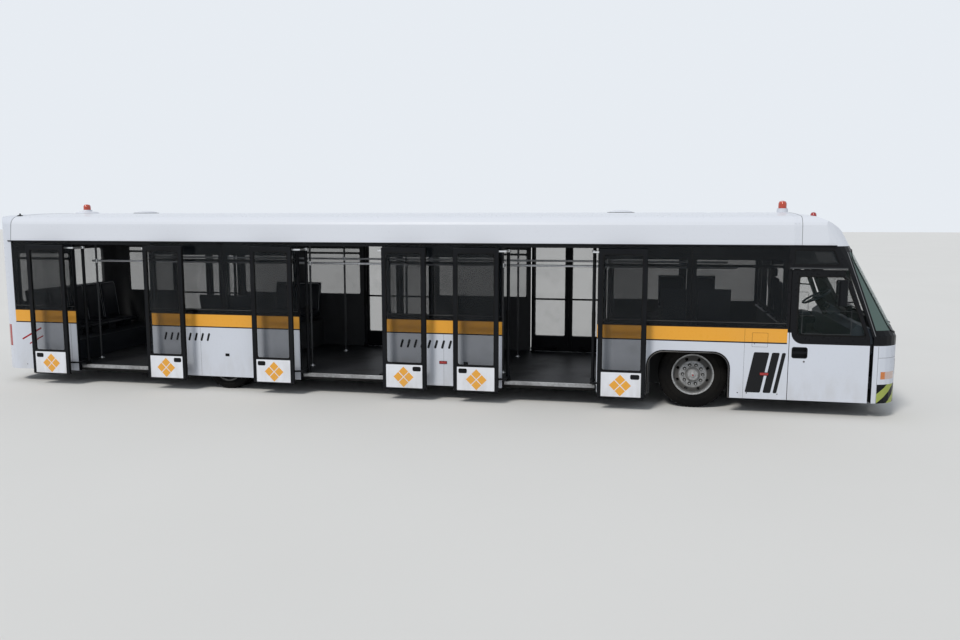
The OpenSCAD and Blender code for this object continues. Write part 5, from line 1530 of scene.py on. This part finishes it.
def pad_mesh(name, width, length, height, channels=(), cells=26, crown=0.35):
    """A pad lying flat: width in x, length in y, its crowned top at z = height and its flat back at z = 0."""
    points, faces, index = [], [], {}

    def put(u, v, top):
        edge = (1 - abs(u) ** 6) ** 0.5 * (1 - abs(v) ** 6) ** 0.5
        x = width / 2 * u * (1 - 0.030 * (1 - v * v) * abs(u)) * (1 - 0.05 * abs(u * v) ** 6)
        y = length / 2 * v * (1 - 0.030 * (1 - u * u) * abs(v)) * (1 - 0.05 * abs(u * v) ** 6)
        valley = sum(math.exp(-((v - c) / 0.045) ** 2) for c in channels)
        swell = 1 - crown * (u * u + v * v) / 2 - 0.22 * valley
        z = height * (0.30 + 0.70 * edge * swell) if top else height * 0.30 * (1 - edge)
        points.append((x, y, z))
        return len(points) - 1

    shares = [2 * k / cells - 1 for k in range(cells + 1)]
    lines = [math.sin(math.pi / 2 * share) * 0.6 + share * 0.4 for share in shares]
    for (i, u), (j, v) in product(enumerate(lines), repeat=2):
        index[i, j, 1] = put(u, v, True)
        at_rim = i in (0, cells) or j in (0, cells)
        index[i, j, 0] = index[i, j, 1] if at_rim else put(u, v, False)
    for i, j, top in product(range(cells), range(cells), (0, 1)):
        ring = [index[i + di, j + dj, top] for di, dj in ((0, 0), (1, 0), (1, 1), (0, 1))]
        faces.append(ring if top else ring[::-1])
    mesh = bpy.data.meshes.new(name)
    mesh.from_pydata(points, [], faces)
    smooth(mesh)
    return mesh


print("pad form ready")

# %% [markdown]
# The driver's pads are thicker and softer, so they are blown up as cloth. The closed form is remeshed
# evenly, Blender's Cloth fills it with a light pressure for twenty frames, and each point may then move
# only a little. The result is applied, so no simulation is left in the finished model.

# %% Remesh and cloth


def evaluated(piece):
    """The piece with its modifiers worked out."""
    return piece.evaluated_get(bpy.context.evaluated_depsgraph_get())


def points_of(mesh):
    """A mesh's points as rows of x, y and z."""
    points = np.empty(len(mesh.vertices) * 3)
    mesh.vertices.foreach_get("co", points)
    return points.reshape(-1, 3)


def evened(piece, voxel):
    """The piece's closed form, remeshed evenly, in the same materials."""
    remesh = piece.modifiers.new("even", "REMESH")
    remesh.mode, remesh.voxel_size = "VOXEL", voxel
    even = bpy.data.meshes.new_from_object(evaluated(piece))
    piece.modifiers.clear()
    for material in piece.data.materials:
        if material.name not in even.materials:
            even.materials.append(material)
    return even


def blown_up(piece, pressure, frames=20):
    """The piece's points after some frames as cloth under pressure."""
    scene = bpy.context.scene
    cloth = piece.modifiers.new("cloth", "CLOTH")
    cloth.settings.quality = 4
    cloth.settings.mass = 0.3
    cloth.settings.use_pressure = True
    cloth.settings.uniform_pressure_force = pressure
    cloth.settings.effector_weights.gravity = 0
    cloth.point_cache.frame_start, cloth.point_cache.frame_end = 1, frames
    for step in range(1, frames + 1):
        scene.frame_set(step)
    points = points_of(evaluated(piece).data)
    piece.modifiers.clear()
    scene.frame_set(1)
    return points


print("cloth ready")

# %% [markdown]
# The pads of the driver's seat take both steps before they are placed. The others are placed as drawn.

# %% Pads in place


def swell(piece, cap, voxel=0.008, pressure=4.0):
    """Fills a closed pad like cloth and applies the result."""
    even = evened(piece, voxel)
    piece.data = even
    rest = points_of(even)
    move = blown_up(piece, pressure) - rest
    reach = np.linalg.norm(move, axis=1, keepdims=True)
    move *= np.minimum(1.0, cap / np.maximum(reach, 1e-9))
    even.vertices.foreach_set("co", (rest + move).ravel())
    smooth(even)
    even.update()
    piece.modifiers.new("smooth", "SUBSURF").levels = 1
    print(piece.name, "swelled, largest move", round(float(reach.max()), 4))


def padded_piece(name, mesh, at, body, material, cap=None):
    """A pad at its place, with the place written into its points."""
    own = mesh.copy()
    own.name = name
    own.transform(at)
    own.materials.append(material)
    piece = into_scene(name, own)
    if cap:
        swell(piece, cap)
    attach(piece, body)


print("pads can be placed")

# %% [markdown]
# Every passenger seat is the same form at another place: five face forward across the rear, and eight
# face the aisle over the wheel boxes. Its back leans, so the back pad is turned to lie on it.

# %% Passenger seats
seat_w, seat_h = 0.440, 0.130
bench_x, bench_top = tail_x + wall_t + 0.030, floor_z + 0.330
box_z, rear_box_z, side_seat_y = 1.040, 0.780, half_w - wall_t - 0.350
seats = [(spot(bench_x + 0.400, i * (seat_w + 0.020), bench_top), seat_w, 0.700) for i in range(-2, 3)]
for flip in SIDES.values():
    for end in (-1, 1):
        seats.append((flip @ spot(front_axle.x + end * 0.250, -side_seat_y, box_z, 90), seat_w, 0.520))
        seats.append((flip @ spot(rear_axle.x + end * (seat_w / 2 + 0.005), -side_seat_y, rear_box_z, 90),
                      seat_w - 0.010, 0.560))
piping_kit = Kit("seat_piping", "bus_body", "seat_shell", piping)
pan_mesh = pad_mesh("pan", 0.350, seat_w - 0.050, 0.026, (-0.3, 0.3), 18)
back_meshes = {}
for number, (place, width, back_h) in enumerate(seats):
    lean_angle = math.degrees(math.atan2(0.090, back_h - 0.020))
    pan = place @ spot(0.035, 0, seat_h + 0.0165, -1.5, "Y")
    padded_piece(f"seat_pan_{number + 1}", pan_mesh, pan, "bus_body", leatherette)
    height = back_h - 0.070
    if back_h not in back_meshes:
        back_meshes[back_h] = pad_mesh(f"back_{number}", height, width - 0.050, 0.026, (-0.35, 0.35), 18)
    middle_z = seat_h + 0.020 + (back_h - 0.020) / 2 + 0.010
    edge = place @ spot(-0.2095, 0, middle_z, -lean_angle, "Y")
    back = edge @ spot(turn=90, axis="Y")
    padded_piece(f"seat_back_{number + 1}", back_meshes[back_h], back, "bus_body", leatherette)
    # Piping up both edges of the back and across its top
    half, up = width / 2 - 0.012, height / 2 + 0.006
    climb = [(half, -up), (half, up - 0.04), (half - 0.012, up - 0.010), (half - 0.04, up)]
    loop = [(0.004, -y, z) for y, z in climb] + [(0.004, y, z) for y, z in climb[::-1]]
    piping_kit.swept(loop, circle(0.005, 6), False, 0, edge, up=(1, 0, 0))
piping_kit.done()

# %% [markdown]
# ## The driver's place
#
# The driver's seat has a thick woven cushion, a back and a headrest. The weave is two sets of threads,
# one over the other like a basket. In front of it, the instruments sit under a hood on the dash, with a
# dark display, rows of switches and air vents.

# %% Driver's seat
woven = Finish("driver_cloth", roughness=0.85, Sheen_Weight=0.3)
tx, ty, tz = woven.place()
warp = (tx * 900.0).sine() * ((ty + tz) * 900.0).sine()
woven.link("Base Color", woven.mix(woven.ramp(warp, -0.6, 0.6), (0.050, 0.056, 0.070), (0.085, 0.095, 0.120)))
woven.bump(warp, 0.5, 0.0008)
driver_x, driver_y, cab_floor_z = side_x1 + 0.400, 0.380, 0.850
seat_place = spot(driver_x, driver_y, cab_floor_z)
driver_pads = (("cushion", 0.440, 0.450, 0.060, (-0.42, 0.42), 30, 0.012, spot(0.015, 0, 0.3280, -2.5, "Y")),
               ("backrest", 0.500, 0.450, 0.055, (-0.25, 0.25), 30, 0.012,
                spot(-0.232, 0, 0.615, -8.5, "Y") @ spot(turn=90, axis="Y")),
               ("headrest", 0.140, 0.240, 0.045, (), 22, 0.008,
                spot(-0.334, 0, 0.990, -5.0, "Y") @ spot(turn=90, axis="Y")))
for part, width, length, height, channels, cells, cap, at in driver_pads:
    pad = pad_mesh("driver_" + part, width, length, height, channels, cells, 0.25)
    padded_piece("driver_" + part, pad, seat_place @ at, "bus_body", woven.material, cap)

# %% Instruments
screen_black = Finish("display_black", roughness=0.08, Coat_Weight=0.5)
screen_black.link("Base Color", screen_black.mix(screen_black.noise(6.0), (0.006, 0.008, 0.010),
                                                 (0.012, 0.014, 0.018)))
dash_x = nose_x - 0.430
kit = Kit("dash_fittings", "bus_body", "dash_plastic", dash_plastic, screen_black.material, charcoal,
          bright_metal, seal_rubber)
desk = spot(dash_x, 0, cab_floor_z)
slope = desk @ spot(-0.195, driver_y, 0.365, 38, "Y")
hood = [(-0.23, 0, 0.0), (-0.23, 0, 0.085), (-0.20, 0, 0.125), (0.20, 0, 0.125), (0.23, 0, 0.085),
        (0.23, 0, 0.0)]
turn_hood = slope @ spot(turn=90)
kit.swept(hood, [(0.006, -0.085), (0.006, 0.085), (-0.006, 0.090), (-0.006, -0.090)], False, 0, turn_hood)
kit.plate(rounded(-0.19, 0.010, 0.19, 0.105, 0.02), 0.004, 0.001, 1, turn_hood @ spot(y=0.030))
for x in (-0.115, 0.115):
    ring_plate(kit, circle(0.042, 24, x, 0.057), 0.008, 0.008, 3, turn_hood @ spot(y=0.030))
for row, i in product(range(2), range(9)):
    at = slope @ spot(-0.010 + row * 0.045, 0.300 + i * 0.034, 0.002)
    kit.block((-0.014, -0.012, 0), (0.014, 0.012, 0.010), 0.002, 2 if (i + row) % 4 else 1, at)
for y, i in product((-0.95, -0.55, 0.85, 1.05), range(6)):
    kit.block((-0.19, y - 0.055, 0.385 + i * 0.009), (-0.182, y + 0.055, 0.389 + i * 0.009), 0.001, 2, desk)
# A display in its own case, turned towards the driver's seat
display = desk @ spot(0.02, 0.12, 0.000, -12)
kit.block((0.010, -0.130, 0.345), (0.080, 0.120, 0.520), 0.008, 2, display)
kit.block((0.006, -0.110, 0.365), (0.012, 0.100, 0.500), 0.002, 1, display)
column = desk @ spot(-0.210, driver_y, 0.330, -28, "Y")
kit.turned([(0.029, 0.02), (0.036, 0.03), (0.036, 0.20), (0.050, 0.24), (0.050, 0.29), (0.030, 0.30)], 32, 2,
           column @ UPRIGHT)
kit.turned([(0, 0.342), (0.052, 0.342), (0.058, 0.338), (0.060, 0.330)], 40, 2, column @ UPRIGHT)
for y0, y1 in ((-0.056, -0.144), (0.044, 0.156)):
    kit.block((-0.010, y0, 0.245), (0.010, y1, 0.257), 0.004, 4, column)
kit.done()

# %% [markdown]
# ## The wall behind the cab, and the covers over the doorways
#
# A handrail crosses the wall between cab and cabin, its windows have rubber edges, and a flat cover with
# a row of clips hides the door gear over each doorway.

# %% Inner trim
kit = Kit("inner_trim", "bus_body", "trim", lining, seal_rubber, bright_metal)
bulkhead_x, bulkhead_t = side_x1 - 0.040, 0.030
window_y0, window_y1 = 0.120, half_w - 0.250
for flip in SIDES.values():
    for x, turn, y0, y1 in ((bulkhead_x, -90, window_y0, window_y1),
                            (bulkhead_x + bulkhead_t, 90, -window_y1, -window_y0)):
        ring_plate(kit, rounded(y0, 1.300, y1, 2.080, 0.040), 0.022, 0.005, 1, flip @ spot(x, turn=turn))
    kit.swept([(bulkhead_x - 0.045, y, 1.240) for y in (-1.20, -0.16)], circle(0.014, 8), False, 2, flip,
              up=(0, 0, 1))
    for y in (-1.19, -0.68, -0.17):
        kit.block((bulkhead_x - 0.046, y - 0.008, 1.232), (bulkhead_x + 0.001, y + 0.008, 1.248), 0.002, 2,
                  flip)
    cover_y = -half_w + wall_t + 0.170
    for x in door_xs:
        kit.block((x - door_w / 2 + 0.006, cover_y - 0.001, door_head_z + 0.003),
                  (x + door_w / 2 - 0.006, cover_y + 0.0035, gutter_z - 0.004), 0.001, 0, flip)
        for i in range(7):
            kit.turned([(0, 0.0070), (0.006, 0.0062), (0.008, 0.0030)], 14, 2,
                       flip @ spot(x - 0.60 + i * 0.20, cover_y, door_head_z + 0.022))
kit.done()

# %% [markdown]
# ## Floor, light and camera
#
# The bus stands on a plain pale floor. One broad sun gives it form and a soft shadow, and the sky fills
# the rest, both at a level where a colour renders about as it is written. The camera stands where the
# photograph's did: beyond the right side, a little behind the front axle, at roof height.

# %% Floor
ground_mesh = bpy.data.meshes.new("ground")
reach = 160.0
ground_mesh.from_pydata([(-reach, -reach, 0), (reach, -reach, 0), (reach, reach, 0), (-reach, reach, 0)], [],
                        [(0, 1, 2, 3)])
pale = Finish("pale_ground", roughness=0.9)
pale.link("Base Color", pale.mix(pale.noise(0.25, 5.0), (0.66, 0.655, 0.64), (0.62, 0.615, 0.60)))
ground_mesh.materials.append(pale.material)
into_scene("ground", ground_mesh)
print("floor laid")

# %% Light
world = bpy.data.worlds.new("studio")
bpy.context.scene.world = world
world.use_nodes = True
world.node_tree.nodes.clear()
sky = Sheet(world.node_tree)
fill = sky.node("ShaderNodeBackground", {}, {"Color": (0.86, 0.92, 1.0), "Strength": 0.62})
backdrop = sky.node("ShaderNodeBackground", {}, {"Color": (0.80, 0.84, 0.89), "Strength": 1.0})
camera, glossy, through = (sky.node("ShaderNodeLightPath", out=f"Is {ray} Ray")
                           for ray in ("Camera", "Glossy", "Transmission"))
blend = sky.node("ShaderNodeMixShader", {}, [camera | glossy | through, fill, backdrop])
sky.node("ShaderNodeOutputWorld", {}, [blend])

sun = into_scene("sun", bpy.data.lights.new("sun", "SUN"))
sun.data.energy, sun.data.angle, sun.data.color = 2.1, math.radians(14), (1.0, 0.97, 0.92)
sun.rotation_euler = (math.radians(42), 0, math.radians(-24))
print("sun at", sun.data.energy, "W/m2")

# %% Camera
view = into_scene("view", bpy.data.cameras.new("view"))
view.location = (3.510, -13.032, 2.670)
view.rotation_euler = (math.pi / 2 - 0.1237, 0, 0.2007)
view.data.lens, view.data.sensor_width, view.data.clip_end = 30.64, 36.0, 500
bpy.context.scene.camera = view
bpy.context.scene.view_settings.view_transform = "Standard"
print("camera set")
